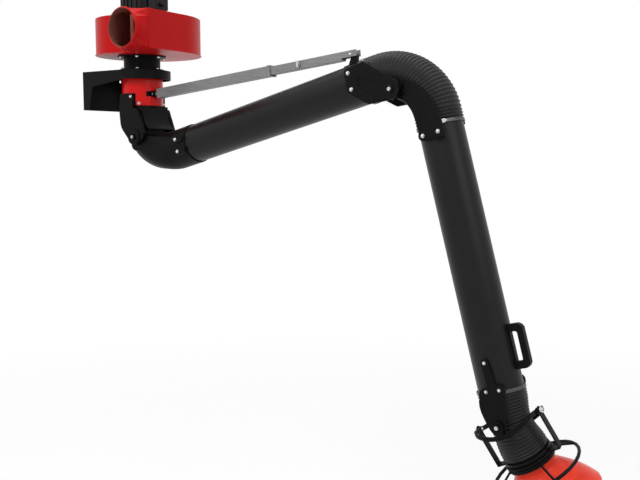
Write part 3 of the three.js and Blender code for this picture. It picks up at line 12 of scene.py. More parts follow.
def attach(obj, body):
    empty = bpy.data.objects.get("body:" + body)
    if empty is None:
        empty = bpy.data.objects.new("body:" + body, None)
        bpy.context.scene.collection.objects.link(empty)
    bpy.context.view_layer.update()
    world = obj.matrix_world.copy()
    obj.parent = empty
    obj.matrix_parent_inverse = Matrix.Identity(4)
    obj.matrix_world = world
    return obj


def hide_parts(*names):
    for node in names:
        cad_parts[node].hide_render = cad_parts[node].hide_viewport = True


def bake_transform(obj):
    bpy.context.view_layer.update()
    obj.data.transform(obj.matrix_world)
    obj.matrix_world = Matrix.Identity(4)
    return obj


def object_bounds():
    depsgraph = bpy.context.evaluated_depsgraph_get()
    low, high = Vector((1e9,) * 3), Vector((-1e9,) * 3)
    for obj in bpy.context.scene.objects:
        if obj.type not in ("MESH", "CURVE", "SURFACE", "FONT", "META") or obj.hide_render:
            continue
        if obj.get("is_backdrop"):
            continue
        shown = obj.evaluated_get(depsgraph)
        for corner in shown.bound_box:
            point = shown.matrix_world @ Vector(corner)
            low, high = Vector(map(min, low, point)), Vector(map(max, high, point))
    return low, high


bl_info = {
    "name": "Fume extraction arm",
    "version": (1, 0, 0),
    "blender": (4, 5, 0),
    "location": "View3D > Sidebar > Arm",
    "description": "Finishes, hoses, fasteners and studio for a wall-mounted fume extraction arm",
    "category": "Object",
}

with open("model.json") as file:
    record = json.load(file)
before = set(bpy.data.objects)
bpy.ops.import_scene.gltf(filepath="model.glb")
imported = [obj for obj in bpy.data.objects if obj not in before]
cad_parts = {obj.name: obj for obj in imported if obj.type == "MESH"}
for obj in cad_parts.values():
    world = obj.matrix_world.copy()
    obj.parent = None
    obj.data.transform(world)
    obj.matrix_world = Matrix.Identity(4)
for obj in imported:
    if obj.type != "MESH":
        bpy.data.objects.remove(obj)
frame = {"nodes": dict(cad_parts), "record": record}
CAD_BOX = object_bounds()
Y, Z = Vector((0, 1, 0)), Vector((0, 0, 1))


def heading(degrees):
    """Unit vector in the arm's plane, at an angle above the horizontal."""
    return Vector((math.cos(math.radians(degrees)), 0, math.sin(math.radians(degrees))))


# Frames of the arm at rest: angles in degrees, lengths in metres
INNER_PITCH, OUTER_LEAN, HOOD_TILT, HOOD_SIDE, ROD_PITCH = 14.54, 15.31, 26.9, 15.1, 6.12
SHOULDER_DROP, INNER_SPAN, MIDDLE_DROP = 0.0964, 1.293, 0.077
MIDDLE_OUT, OUTER_SPAN = 0.1015, 1.208
ALONG, ABOVE = heading(INNER_PITCH), heading(INNER_PITCH + 90)
OUTWARD, UPWARD = heading(OUTER_LEAN), heading(OUTER_LEAN + 90)
CROSS, BACK = heading(HOOD_TILT), heading(HOOD_TILT + 90)
COLUMN = Vector((0.25, 0, 0))
SHOULDER = Vector((0.296, 0, -0.206))
INNER_FOOT = SHOULDER - SHOULDER_DROP * ABOVE
MIDDLE = INNER_FOOT + INNER_SPAN * ALONG - MIDDLE_DROP * ABOVE
OUTER_FOOT = MIDDLE + MIDDLE_OUT * OUTWARD
WRIST = OUTER_FOOT - OUTER_SPAN * UPWARD
HOOD_UP = math.cos(math.radians(HOOD_SIDE)) * BACK - math.sin(math.radians(HOOD_SIDE)) * Y
HOOD_ACROSS = HOOD_UP.cross(CROSS)
ROD_FOOT = Vector((0.344, 0, -0.018))
ROD, ROD_UP = heading(ROD_PITCH), heading(ROD_PITCH + 90)

# Seats that forms and fasteners share: places in the frame of their part,
# faces as a distance from the arm's plane
SIDES = (("front", -1), ("back", 1))
PIVOT = (0.046, -0.206)
YOKE_INNER, YOKE_FACE, YOKE_BOSS = 0.086, 0.100, 0.106
LUG_AT, LUG_HALF, LUG_FACE = 0.223, 0.026, 0.089
CHEEK_AT, CHEEK_HALF, CHEEK_FACE, CHEEK_BOSS = 1.133, 0.030, 0.1064, 0.1184
LINK_AT, LINK_LOW, LINK_FACE, PAD_FACE = -0.030, -0.188, 0.0950, 0.0965
PLATE_INNER, PLATE_FACE = 0.0866, 0.0926
SHOULDER_PIN, MIDDLE_PIN, WRIST_PIN, TILT_PIN = 0.1123, 0.1246, 0.1073, 0.1304
OUTLET, OUTLET_BORE = Vector((0.452, 0, 0.229)), 0.0786
EARS_LOW, EARS_HIGH = Vector((0.3275, 0.0215, -0.0315)), Vector((0.36, 0.0325, -0.0045))
# Pads of the curved links: place and half width
PADS = {"front": (0.031, 0.023), "back": (0.026, 0.016)}


def column(x, y, z):
    return COLUMN + Vector((x, y, z))


def inner(s, y, t):
    return INNER_FOOT + s * ALONG + y * Y + t * ABOVE


def outer(p, y, q):
    return OUTER_FOOT + p * OUTWARD + y * Y + q * UPWARD


def hood(x, y, z):
    return WRIST + x * CROSS + y * HOOD_ACROSS + z * HOOD_UP


def on_rod(x, y, z):
    return ROD_FOOT + x * ROD + y * Y + z * ROD_UP


# Sizes and colours

def length(name, description, default):
    return FloatProperty(name=name, description=description, default=default, unit="LENGTH", precision=4)


def swatch(name, description, colour):
    return FloatVectorProperty(
        name=name, description=description, subtype="COLOR", size=3, min=0, max=1, default=colour)


class ArmSizes(bpy.types.PropertyGroup):
    crest: length("Hose crest radius", "Radius over the ribs of the hoses", 0.0855)
    valley: length("Hose valley radius", "Radius between the ribs of the hoses", 0.0805)
    wall: length("Hose wall", "Thickness of the hose", 0.0016)
    pitch: length("Rib pitch", "Distance from rib to rib", 0.0112)
    cuff: length("Plain cuff", "Plain length at each end of a hose", 0.018)
    facets: IntProperty(name="Hose facets", description="Sides round a hose", default=72, min=24)
    edge: length("Edge radius", "Rounding of the edges of mouldings and sheet", 0.0012)
    bolt: length("Bolt head radius", "Radius of a domed bolt head", 0.0058)
    washer: length("Washer radius", "Radius of the washer under a bolt", 0.0078)
    floor: length("Floor height", "Height of the floor below the swivel", -2.60)


class ArmColours(bpy.types.PropertyGroup):
    duct: swatch("Tubes", "Satin paint of the two tubes", (0.0050, 0.0056, 0.0053))
    moulding: swatch("Mouldings", "Grained plastic of the joints", (0.0030, 0.0030, 0.0031))
    hose: swatch("Hoses", "Coated fabric of the hoses", (0.0045, 0.0045, 0.0047))
    bracket: swatch("Bracket", "Powder coat of bracket and neck", (0.0055, 0.0055, 0.006))
    fan: swatch("Fan", "Paint of the fan housing", (0.56, 0.007, 0.008))
    collar: swatch("Collar", "Plastic of the swivel collar", (0.72, 0.008, 0.008))
    hood: swatch("Hood", "Plastic of the hood", (0.92, 0.055, 0.028))
    # Painted shade: dark brownish red for the inside of the fan scroll and outlet, where shade falls
    painted_shade: swatch("Outlet_shade", "Shaded inside of the fan outlet", (0.26, 0.085, 0.065))
    rod: swatch("Balance rod", "Zinc grey of the square tubes", (0.25, 0.25, 0.255))
    zinc: swatch("Bolts", "Bright plating of bolts and screws", (0.62, 0.62, 0.63))
    band: swatch("Bands", "Steel of the hose clamps", (0.085, 0.085, 0.088))
    motor: swatch("Motor", "Cast motor paint", (0.008, 0.0085, 0.0095))
    dust: swatch("Dust", "Settled dust on the upper faces", (0.30, 0.29, 0.28))
    floor: swatch("Floor", "Pale studio floor", (0.90, 0.90, 0.90))


def sizes():
    return bpy.context.scene.arm_sizes


def colours():
    return bpy.context.scene.arm_colours


# Shader maths

class Sock:
    """A shader socket with arithmetic."""

    def __init__(self, graph, out):
        self.graph, self.out = graph, out

    def __add__(self, other):
        return self.graph.math("ADD", self, other)

    def __radd__(self, other):
        return self.graph.math("ADD", other, self)

    def __sub__(self, other):
        return self.graph.math("SUBTRACT", self, other)

    def __rsub__(self, other):
        return self.graph.math("SUBTRACT", other, self)

    def __mul__(self, other):
        return self.graph.math("MULTIPLY", self, other)

    def __rmul__(self, other):
        return self.graph.math("MULTIPLY", other, self)

    def __or__(self, other):
        return self.graph.math("MAXIMUM", self, other)

    def between(self, low, high, to_low=0.0, to_high=1.0):
        return self.graph.node("ShaderNodeMapRange", {0: self, 1: low, 2: high, 3: to_low, 4: to_high})


class Graph:
    """Node graph of a material or a world."""

    def __init__(self, owner):
        owner.use_nodes = True
        self.owner = owner
        self.tree = owner.node_tree

    def node(self, kind, inputs=None, out=0, **settings):
        made = self.tree.nodes.new(kind)
        for key, value in settings.items():
            setattr(made, key, value)
        for key, value in (inputs or {}).items():
            self.feed(made.inputs[key], value)
        return Sock(self, made.outputs[out])

    def feed(self, socket, value):
        if isinstance(value, Sock):
            self.tree.links.new(value.out, socket)
        else:
            socket.default_value = value

    def set(self, shader, **inputs):
        for key, value in inputs.items():
            self.feed(self.tree.nodes[shader].inputs[key.replace("_", " ")], value)

    def math(self, operation, a, b):
        return self.node("ShaderNodeMath", {0: a, 1: b}, operation=operation)

    def mix(self, factor, a, b):
        return self.node(
            "ShaderNodeMix", {0: factor, 6: a, 7: b}, out=2, data_type="RGBA", clamp_factor=True)

    def noise(self, scale, detail=3.0, stretch=None):
        where = self.node("ShaderNodeTexCoord", out="Object")
        if stretch:
            where = self.node("ShaderNodeMapping", {"Vector": where, "Scale": stretch})
        return self.node("ShaderNodeTexNoise", {"Vector": where, "Scale": scale, "Detail": detail})

    def facing_up(self):
        normal = self.node("ShaderNodeNewGeometry", out="Normal")
        return self.node("ShaderNodeSeparateXYZ", {0: normal}, out=2)

    def bump(self, height, strength, distance):
        made = self.node("ShaderNodeBump", {"Strength": strength, "Distance": distance, "Height": height})
        self.set("Principled BSDF", Normal=made)

    def seen(self):
        """One where the ray comes from the camera, a gloss or a clear surface."""
        rays = ("Camera", "Glossy", "Transmission")
        camera, gloss, clear = (self.node("ShaderNodeLightPath", out=f"Is {ray} Ray") for ray in rays)
        return camera | gloss | clear


def tint(colour, gain, lift=0.0):
    return tuple(min(1.0, c * gain + lift) for c in colour) + (1.0,)


def coated(name, colour, rough, gloss, grain, relief, cloud, dust, coat=0.0, metal=0.0):
    """Painted or moulded skin: clouded tone, dust on the upper faces, orange peel or grain in the bump."""
    g = Graph(bpy.data.materials.new(name))
    clouds = g.noise(5.5, 4.0)
    speck = g.noise(grain * 0.6, 2.0)
    tone = g.mix(clouds.between(0.3, 0.7), tint(colour, 1 - cloud), tint(colour, 1 + cloud))
    tone = g.mix(speck.between(0.45, 0.75, 0.0, 0.35), tone, tint(colour, 1.3, 0.001))
    settled = g.facing_up().between(0.2, 1.0) * g.noise(26.0, 5.0).between(0.42, 0.7, 0.0, dust)
    tone = g.mix(settled, tone, tint(colours().dust, 1.0))
    rough = (clouds * 0.10 + speck * 0.07 + settled * 0.5) + (rough - 0.085)
    g.set("Principled BSDF", Base_Color=tone, Roughness=rough, Metallic=metal, Specular_IOR_Level=gloss)
    if coat:
        g.set("Principled BSDF", Coat_Weight=coat, Coat_Roughness=0.06)
    g.bump(g.noise(grain, 2.0) + g.noise(grain * 0.22, 2.0) * 0.5, 0.35, relief)
    return g.owner


def metallic(name, colour, rough, stretch=(1.0, 1.0, 1.0), grain=160.0, metal=1.0):
    """Plated or brushed metal: fine scratches along one way and a slightly dulled patchwork."""
    g = Graph(bpy.data.materials.new(name))
    brush = g.noise(grain, 3.0, stretch)
    patch = g.noise(48.0, 4.0)
    tone = g.mix(brush.between(0.3, 0.7), tint(colour, 0.84), tint(colour, 1.1))
    tone = g.mix(patch.between(0.55, 0.8, 0.0, 0.36), tone, tint(colour, 0.6))
    rough = (brush * 0.12 + patch * 0.12) + (rough - 0.12)
    g.set("Principled BSDF", Base_Color=tone, Metallic=metal, Roughness=rough, Specular_IOR_Level=0.3)
    g.bump(brush, 0.25, 0.00006)
    return g.owner


def rubbery(name, colour):
    """Coated hose: paler worn patches, woven grain and a soft sheen."""
    g = Graph(bpy.data.materials.new(name))
    wear = g.noise(90.0, 4.0)
    weave = g.noise(620.0, 2.0)
    tone = g.mix(wear.between(0.35, 0.75), tint(colour, 0.8), tint(colour, 1.5))
    tone = g.mix(weave.between(0.4, 0.7, 0.0, 0.4), tone, tint(colour, 1.8, 0.001))
    rough = (wear * 0.2 + weave * 0.1) + 0.32
    g.set("Principled BSDF", Base_Color=tone, Roughness=rough, Specular_IOR_Level=0.26)
    g.bump(weave, 0.4, 0.00016)
    return g.owner


FINISHES = {}


def finish(name):
    """Material of that name, made once."""
    if name not in FINISHES:
        c = colours()
        FINISHES[name] = {
            "duct": lambda: coated("duct_black", c.duct, 0.36, 0.20, 380.0, 0.0001, 0.14, 0.03),
            "moulding": lambda: coated("moulding_black", c.moulding, 0.46, 0.09, 900.0, 0.00014, 0.2, 0.03),
            "plate": lambda: coated("plate_black", c.moulding, 0.42, 0.09, 500.0, 0.0001, 0.2, 0.03),
            "bracket": lambda: coated("bracket_black", c.bracket, 0.42, 0.07, 460.0, 0.00012, 0.18, 0.04),
            "fan": lambda: coated("fan_red", c.fan, 0.34, 0.10, 300.0, 0.0001, 0.08, 0.03),
            "collar": lambda: coated(
                "collar_red", c.collar, 0.24, 0.12, 520.0, 0.00008, 0.06, 0.02, coat=0.1),
            "hood": lambda: coated("hood_red", c.hood, 0.28, 0.1, 520.0, 0.00006, 0.05, 0.02, coat=0.05),
            # Painted shade for the inside of the fan housing
            "painted_shade": lambda: coated("outlet_painted_shade", c.painted_shade, 0.62, 0.1, 240.0, 0.0002, 0.25, 0.0),
            "motor": lambda: coated(
                "motor_black", c.motor, 0.48, 0.22, 240.0, 0.0003, 0.2, 0.05, metal=0.1),
            "rod": lambda: metallic("rod_grey", c.rod, 0.44, (0.06, 1.0, 1.0), 210.0, metal=0.25),
            "zinc": lambda: metallic("bright_zinc", c.zinc, 0.26),
            "band": lambda: metallic("band_steel", c.band, 0.36, (1.0, 0.1, 1.0), metal=0.8),
            "hose": lambda: rubbery("hose_black", c.hose),
        }[name]()
    return FINISHES[name]


# Nodes that are dressed with rounded edges, and inner nodes that keep their solid
DRESSED = {
    "duct": ["inner_tube", "outer_tube"],
    "bracket": ["wall_bracket", "neck_duct"],
    "fan": ["fan_housing"],
    "collar": ["swivel_collar"],
    "hood": ["hood_shell"],
    "motor": ["motor_flange", "motor_body", "motor_cowl", "terminal_box", "cable_gland"],
    "moulding": ["grab_handle", "rod_lever", "hood_frame", "hood_ring_handle"],
    "plate": [
        "wrist_yoke", "shoulder_pin_front", "shoulder_pin_back", "wrist_pin_front", "wrist_pin_back",
        "wrist_clamp_lower",
    ],
    "rod": ["rod_sleeve", "rod_slider"],
    "band": ["elbow_clamp_upper", "elbow_clamp_lower", "wrist_clamp_upper"],
    "zinc": ["hood_pin_outer", "hood_pin_inner"],
}
INSIDE = {
    "band": [
        "swivel_ring", "shoulder_disc_front", "shoulder_disc_back", "elbow_disc_front", "elbow_disc_back",
        "impeller",
    ],
    "zinc": ["rod_pin", "motor_shaft", "balance_cylinder", "balance_rod"],
    "hose": ["shoulder_hose", "elbow_hose", "wrist_hose"],
}
BODY_OF = {node: name for name, body in frame["record"]["behaviour"]["bodies"].items() for node in body}


# Mesh helpers

def made(name, bm, *materials):
    """Object from a bmesh, smooth, with its faces turned outward."""
    bmesh.ops.recalc_face_normals(bm, faces=bm.faces)
    mesh = bpy.data.meshes.new(name)
    bm.to_mesh(mesh)
    bm.free()
    for face in mesh.polygons:
        face.use_smooth = True
    obj = bpy.data.objects.new(name, mesh)
    bpy.context.scene.collection.objects.link(obj)
    for material in materials:
        mesh.materials.append(material)
    return obj


def level_faces(mesh, limit=62.0):
    """Corner normals weighted by face area, so that flat faces stay flat beside their rounded edges."""
    near = math.cos(math.radians(limit))
    at = [[] for _ in mesh.vertices]
    for face in mesh.polygons:
        for v in face.vertices:
            at[v].append((face.normal.copy(), face.area))
    normals = []
    for face in mesh.polygons:
        for v in face.vertices:
            total = Vector((0, 0, 0))
            for normal, area in at[v]:
                if normal.dot(face.normal) > near:
                    total += normal * area
            normals.append(total.normalized() if total.length > 1e-12 else face.normal.copy())
    mesh.normals_split_custom_set(normals)


def rounded(name, mesh, edge, *materials):
    """Copy of a mesh with merged facets and rounded edges."""
    bm = bmesh.new()
    bm.from_mesh(mesh)
    bmesh.ops.remove_doubles(bm, verts=bm.verts, dist=2e-5)
    bmesh.ops.dissolve_limit(bm, angle_limit=math.radians(1.0), verts=bm.verts, edges=bm.edges)
    sharp = [e for e in bm.edges if len(e.link_faces) == 2 and e.calc_face_angle() > math.radians(34)]
    bmesh.ops.bevel(
        bm, geom=sharp, offset=edge, offset_type="OFFSET", segments=2, profile=0.5, affect="EDGES",
        clamp_overlap=False)
    obj = made(name, bm, *materials)
    level_faces(obj.data)
    return obj


def enclosed(mesh, rays=12, needed=8, clear=0.0005):
    """Faces that look at the same mesh nearly all round, as the inside of a housing does."""
    tree = BVHTree.FromPolygons([v.co for v in mesh.vertices], [f.vertices for f in mesh.polygons])
    for face in mesh.polygons:
        side = face.normal.orthogonal().normalized()
        other = face.normal.cross(side)
        start = face.center + clear * face.normal
        met = 0
        for k in range(rays):
            t, lean = 2 * math.pi * k / rays, (0.5, 1.0)[k % 2]
            way = face.normal + lean * (math.cos(t) * side + math.sin(t) * other)
            met += tree.ray_cast(start, way.normalized())[0] is not None
        if met >= needed:
            yield face


def fan_painted_shade_faces(mesh):
    """Faces inside the scroll, and those in the bore of the outlet: these get the painted shade."""
    yield from enclosed(mesh)
    for face in mesh.polygons:
        corners = (mesh.vertices[v].co for v in face.vertices)
        if all(math.hypot(c.x - OUTLET.x, c.z - OUTLET.z) < OUTLET_BORE for c in corners):
            yield face


def collar_painted_shade_faces(mesh):
    """Faces turned to the column, and the two ears that hold the rod's pin: these are painted black as a
    painted shade in the rod's slot.
    """
    for face in mesh.polygons:
        c = face.center
        out = Vector((c.x - COLUMN.x, c.y, 0)).normalized()
        ear = all(low < v < high for low, v, high in zip(EARS_LOW, (c.x, abs(c.y), c.z), EARS_HIGH))
        if ear or face.normal.dot(out) < -0.3:
            yield face


# Faces that get a painted shade: the inside of the fan housing, and the inner faces and pin ears of the
# collar in the rod's slot
PAINTED_SHADE_FACES = {"fan_housing": ("painted_shade", fan_painted_shade_faces), "swivel_collar": ("moulding", collar_painted_shade_faces)}


def skin(bm, rings, closed):
    """Quads through rings of points; closed joins the last ring to the first."""
    rows = [[bm.verts.new(p) for p in ring] for ring in rings]
    count = len(rows) if closed else len(rows) - 1
    for i in range(count):
        a, b = rows[i], rows[(i + 1) % len(rows)]
        for j in range(len(a)):
            k = (j + 1) % len(a)
            bm.faces.new((a[j], a[k], b[k], b[j]))
    return rows


def turned(bm, profile, at, axis, n=20):
    """Lathe of (radius, height) points along an axis from a point."""
    axis = axis.normalized()
    side = axis.orthogonal().normalized()
    other = axis.cross(side)
    turn = [2 * math.pi * i / n for i in range(n)]
    around = [side * math.cos(t) + other * math.sin(t) for t in turn]
    rings = [[at + axis * h + way * r for way in around] for r, h in profile]
    rows = skin(bm, rings, False)
    bm.faces.new(rows[0])
    bm.faces.new(rows[-1])


def block(bm, at, a, b, c, half, chamfer):
    """Block with broken edges, half sizes along three directions round a point."""
    rings = []
    top = half[2]
    for h, inset in ((-top, chamfer), (chamfer - top, 0), (top - chamfer, 0), (top, chamfer)):
        u, v = half[0] - inset, half[1] - inset
        outline = (
            (u - chamfer, v), (chamfer - u, v), (-u, v - chamfer), (-u, chamfer - v),
            (chamfer - u, -v), (u - chamfer, -v), (u, chamfer - v), (u, v - chamfer),
        )
        rings.append([at + a * p + b * q + c * h for p, q in outline])
    rows = skin(bm, rings, False)
    bm.faces.new(rows[0])
    bm.faces.new(rows[-1])


# Outlines and forms

def circle(x, z, r, n=40):
    turn = [2 * math.pi * (i + 0.5) / n for i in range(n)]
    return [(x + r * math.cos(t), z + r * math.sin(t)) for t in turn]


def web(*circles):
    """Outline stretched round circles (x, z, radius)."""
    points = sorted(p for c in circles for p in circle(*c))

    def half(run):
        out = []
        for p in run:
            while len(out) > 1:
                (ax, az), (bx, bz) = out[-2], out[-1]
                if (bx - ax) * (p[1] - az) - (bz - az) * (p[0] - ax) > 1e-9:
                    break
                out.pop()
            out.append(p)
        return out[:-1]

    return half(points) + half(points[::-1])


def round_square(half, corner, n=8):
    """Square outline with round corners."""
    reach = (half - corner) * math.sqrt(2)
    out = []
    for k in range(4):
        mid = math.pi / 2 * k + math.pi / 4
        x, z = reach * math.cos(mid), reach * math.sin(mid)
        for j in range(n + 1):
            t = math.pi / 2 * (k + j / n)
            out.append((x + corner * math.cos(t), z + corner * math.sin(t)))
    return out


def prism(place, outline, y0, y1):
    """Closed form of an outline, thick along y."""
    bm = bmesh.new()
    rows = skin(bm, [[place(p, y, q) for p, q in outline] for y in (y0, y1)], False)
    bm.faces.new(rows[0])
    bm.faces.new(rows[1])
    return bm


def carve(first, *steps):
    """Mesh of a form, joined with others or cut by them in turn."""
    scene = bpy.context.scene
    made_of = []
    for bm in [first] + [bm for _, bm in steps]:
        bmesh.ops.recalc_face_normals(bm, faces=bm.faces)
        mesh = bpy.data.meshes.new("form")
        bm.to_mesh(mesh)
        bm.free()
        made_of.append(bpy.data.objects.new("form", mesh))
        scene.collection.objects.link(made_of[-1])
    for (how, _), other in zip(steps, made_of[1:]):
        step = made_of[0].modifiers.new("form", "BOOLEAN")
        step.operation, step.object, step.solver = how, other, "EXACT"
    bpy.context.view_layer.update()
    whole = bpy.data.meshes.new_from_object(made_of[0].evaluated_get(bpy.context.evaluated_depsgraph_get()))
    for obj in made_of:
        mesh = obj.data
        bpy.data.objects.remove(obj)
        bpy.data.meshes.remove(mesh)
    return whole


def moulded(name, mesh, body, *nodes):
    """Moulding with rounded edges that stands for nodes of a body."""
    obj = rounded(name, mesh, sizes().edge, finish("moulding"))
    bpy.data.meshes.remove(mesh)
    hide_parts(*nodes)
    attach(obj, body)


# Routes of the hoses: centre, in-plane axis, cross axis, and the two widths at a length along the route

def bend_route():
    """Middle hose: off the inner tube, round one bend and down to the outer tube."""
    grip_along, grip_below, radius = 1.149, 0.164, 0.19
    gap = OUTER_FOOT - INNER_FOOT
    det = ALONG.x * UPWARD.z - ALONG.z * UPWARD.x
    reach = (gap.x * UPWARD.z - gap.z * UPWARD.x) / det
    corner = INNER_FOOT + reach * ALONG
    down = -UPWARD
    turn = ALONG.angle(down)
    tangent = radius * math.tan(turn / 2)
    side = (down - down.dot(ALONG) * ALONG).normalized()
    centre = corner - tangent * ALONG + radius * side
    lead = reach - grip_along - tangent
    tail = (corner - OUTER_FOOT).dot(UPWARD) + grip_below - tangent

    def at(s):
        t = min(max((s - lead) / radius, 0.0), turn)
        a = math.sin(t) * ALONG - math.cos(t) * side
        way = math.cos(t) * ALONG + math.sin(t) * side
        return centre + radius * a + (s - lead - radius * t) * way, a, Y, 1.0, 1.0

    return at, lead + radius * turn + tail


def wrist_route():
    """Wrist hose: off the outer tube to the neck of the hood, drawn in at its waist."""
    grip_above, grip_below, lead, tail = 0.119, 0.112, 0.028, 0.027
    pull, waist, steps = 0.11, 0.14, 200
    down, ax = -UPWARD, -HOOD_UP
    start = WRIST + grip_above * UPWARD
    p0, p3 = start + lead * down, WRIST + grip_below * ax
    p1, p2 = p0 + pull * down, p3 - pull / 3 * ax
    curve = [
        (1 - u) ** 3 * p0 + 3 * (1 - u) ** 2 * u * p1 + 3 * (1 - u) * u * u * p2 + u ** 3 * p3
        for u in (i / steps for i in range(steps + 1))
    ]
    run = [0.0]
    for a, b in zip(curve, curve[1:]):
        run.append(run[-1] + (b - a).length)

    def ring(c, way, neck=1.0):
        b = (Y - way.y * way).normalized()
        return c, b.cross(way).normalized(), b, neck, neck

    def at(s):
        if s <= lead:
            return ring(start + s * down, down)
        if s >= lead + run[-1]:
            return ring(p3 + (s - lead - run[-1]) * ax, ax)
        want = s - lead
        i = max(k for k in range(steps) if run[k] <= want)
        f = (want - run[i]) / (run[i + 1] - run[i])
        way = (curve[i + 1] - curve[i]).normalized()
        neck = 1 - waist * math.sin(math.pi * want / run[-1]) ** 2
        return ring(curve[i].lerp(curve[i + 1], f), way, neck)

    return at, lead + run[-1] + tail


def catmull(points, u):
    """Point on a smooth curve through points, u from 0 to 1."""
    i = min(int(u * (len(points) - 1)), len(points) - 2)
    f = u * (len(points) - 1) - i
    p0, p1, p2, p3 = (points[min(max(i + k, 0), len(points) - 1)] for k in (-1, 0, 1, 2))
    return 0.5 * (2 * p1 + f * (p2 - p0) + f * f * (2 * p0 - 5 * p1 + 4 * p2 - p3)
                  + f ** 3 * (3 * p1 - 3 * p2 + p3 - p0))


def shoulder_route(r):
    """Shoulder hose: down inside the swivel, round the elbow and into the inner tube."""
    top, grip_along, bend, tail = -0.084, 0.121, 0.150, 0.027
    centre = inner(grip_along, 0, bend)
    reach = centre.x - COLUMN.x + r
    lead, turn = top - centre.z, math.radians(90 + INNER_PITCH)
    wall = COLUMN.x + r
    lip = inner(0.050, 0, 0.084)
    inside = [Vector((x, 0, z)) for x, z in (
        (wall, centre.z), (wall - 0.001, -0.176), (wall + 0.001, -0.199),
        (lip.x - 0.010, lip.z - 0.008), (lip.x + 0.012, lip.z - 0.011),
    )] + [inner(grip_along, 0, r)]

    def between(o, i):
        return (o + i) / 2, (o - i).normalized(), Y, (o - i).length / (2 * r), 1.0

    def at(s):
        if s <= lead:
            return between(Vector((COLUMN.x - r, 0, top - s)), Vector((wall, 0, top - s)))
        if s < lead + reach * turn:
            f = (s - lead) / (reach * turn)
            t = math.pi + turn * f
            return between(centre + reach * Vector((math.cos(t), 0, math.sin(t))), catmull(inside, f))
        return inner(grip_along + s - lead - reach * turn, 0, 0), -ABOVE, Y, 1.0, 1.0

    return at, lead + reach * turn + tail


def rib_steps(total):
    """Count of the ribs on a hose of that length, and the step from one to the next."""
    s = sizes()
    ribs = round((total - 2 * s.cuff) / s.pitch)
    return ribs, (total - 2 * s.cuff) / ribs


def ribbed(name, route, first, last, crest, valley):
    """Ribbed hose between two lengths of a route, with an inner skin of the same ribs."""
    s = sizes()
    at, total = route
    ribs, step = rib_steps(total)
    parts = 6
    stations = []
    for k in range(ribs):
        for j in range(parts):
            swell = math.sin(math.pi * j / parts) ** 1.5
            stations.append((s.cuff + (k + j / parts) * step, valley + (crest - valley) * swell))
    stations = [(0.0, valley), (s.cuff * 0.97, valley)] + stations
    stations += [(total - s.cuff, valley), (total, valley)]
    stations = [q for q in stations if first - 1e-9 <= q[0] <= last + 1e-9]

    def ring(where, r):
        c, a, b, wide, deep = at(where)
        turn = [2 * math.pi * (i + 0.5) / s.facets for i in range(s.facets)]
        return [c + a * (r * wide * math.cos(t)) + b * (r * deep * math.sin(t)) for t in turn]

    outside = [ring(w, r) for w, r in stations]
    inside = [ring(w, r - s.wall) for w, r in reversed(stations)]
    bm = bmesh.new()
    skin(bm, outside + inside, True)
    obj = made(name, bm, finish("hose"))
    return obj


# Shoulder

def yoke_form():
    """Ring under the collar, square box with a flare over the elbow, and a bossed cheek on each side."""
    bore, rim, ring_low, ring_high = 0.0787, 0.0857, -0.075, 0.009
    ring = bmesh.new()
    turn = [2 * math.pi * (i + 0.5) / 64 for i in range(64)]
    profile = ((bore, ring_low), (rim, ring_low), (rim, ring_high), (bore, ring_high))
    skin(ring, [[column(r * math.cos(t), r * math.sin(t), z) for t in turn] for r, z in profile], True)
    box = bmesh.new()
    low, high = -0.196, -0.070
    walls = ((0.078, 0.028, low), (0.078, 0.028, high), (0.074, 0.024, high), (0.074, 0.024, low))
    rings = [[column(x, y, z) for x, y in round_square(half, corner)] for half, corner, z in walls]
    skin(box, rings, True)
    slot, slot_half = [(0.028, -0.040), (0.090, -0.040), (0.090, 0.060), (0.028, 0.060)], 0.036
    sweep = [(x, z) for x, z in circle(*PIVOT, 0.140, 72) if x < PIVOT[0]]
    flare_half = 0.0765
    flare = [
        (0.074, -0.072), (0.078, -0.072), (0.0786, -0.095), (0.082, -0.120), (0.089, -0.142),
        (0.099, -0.158), (0.1125, -0.1695), (0.1100, -0.1735), (0.096, -0.1625), (0.085, -0.145),
        (0.078, -0.122), (0.0746, -0.095),
    ]
    steps = [
        ("DIFFERENCE", prism(column, slot, -slot_half, slot_half)),
        ("UNION", box),
        ("UNION", prism(column, flare, -flare_half, flare_half)),
        ("DIFFERENCE", prism(column, sweep, -YOKE_INNER, YOKE_INNER)),
    ]
    tab = [(-0.0385, -0.0173), (0.0385, -0.0173), (0.0385, -0.085), (-0.045, -0.085)]
    boss = (*PIVOT, 0.034)
    lower = web(
        (-0.037, -0.091, 0.008), (0.060, -0.091, 0.008), (0.020, -0.138, 0.060), (0.070, -0.190, 0.034), boss)
    spacer = [(-0.0385, -0.072), (0.0385, -0.072), (0.0385, -0.111), (-0.0345, -0.111)]
    for _, sign in SIDES:
        steps += [
            ("UNION", prism(column, tab, sign * YOKE_INNER, sign * YOKE_FACE)),
            ("UNION", prism(column, lower, sign * YOKE_INNER, sign * YOKE_FACE)),
            ("UNION", prism(column, spacer, sign * 0.075, sign * 0.090)),
            ("UNION", prism(column, circle(*boss), sign * 0.090, sign * YOKE_BOSS)),
        ]
    return carve(ring, *steps)


def elbow_section(f, inset):
    """Ring of the shoulder elbow at a share of its bend: squarish at the mouth, round at the tube."""
    along, up, bend, tube = 0.165, 0.150, 0.234, 0.084
    mouth = math.pi + math.asin((up - tube) / bend)
    t = mouth + (1.5 * math.pi - mouth) * f
    outside = Vector((along + bend * math.cos(t), 0, up + bend * math.sin(t)))
    inside = Vector((tube + (along - tube) * f, 0, tube))
    centre, axis = (outside + inside) / 2, (inside - outside).normalized()
    deep = (outside - inside).length / 2 - inset
    wide = tube - 0.001 * (1 - f ** 2) - inset
    out = []
    for i in range(64):
        w = 2 * math.pi * (i + 0.5) / 64
        c, v = (math.copysign(abs(k) ** (1 / (2 - f)), k) for k in (math.cos(w), math.sin(w)))
        out.append(centre + axis * (deep * c) + Y * (wide * v))
    return out


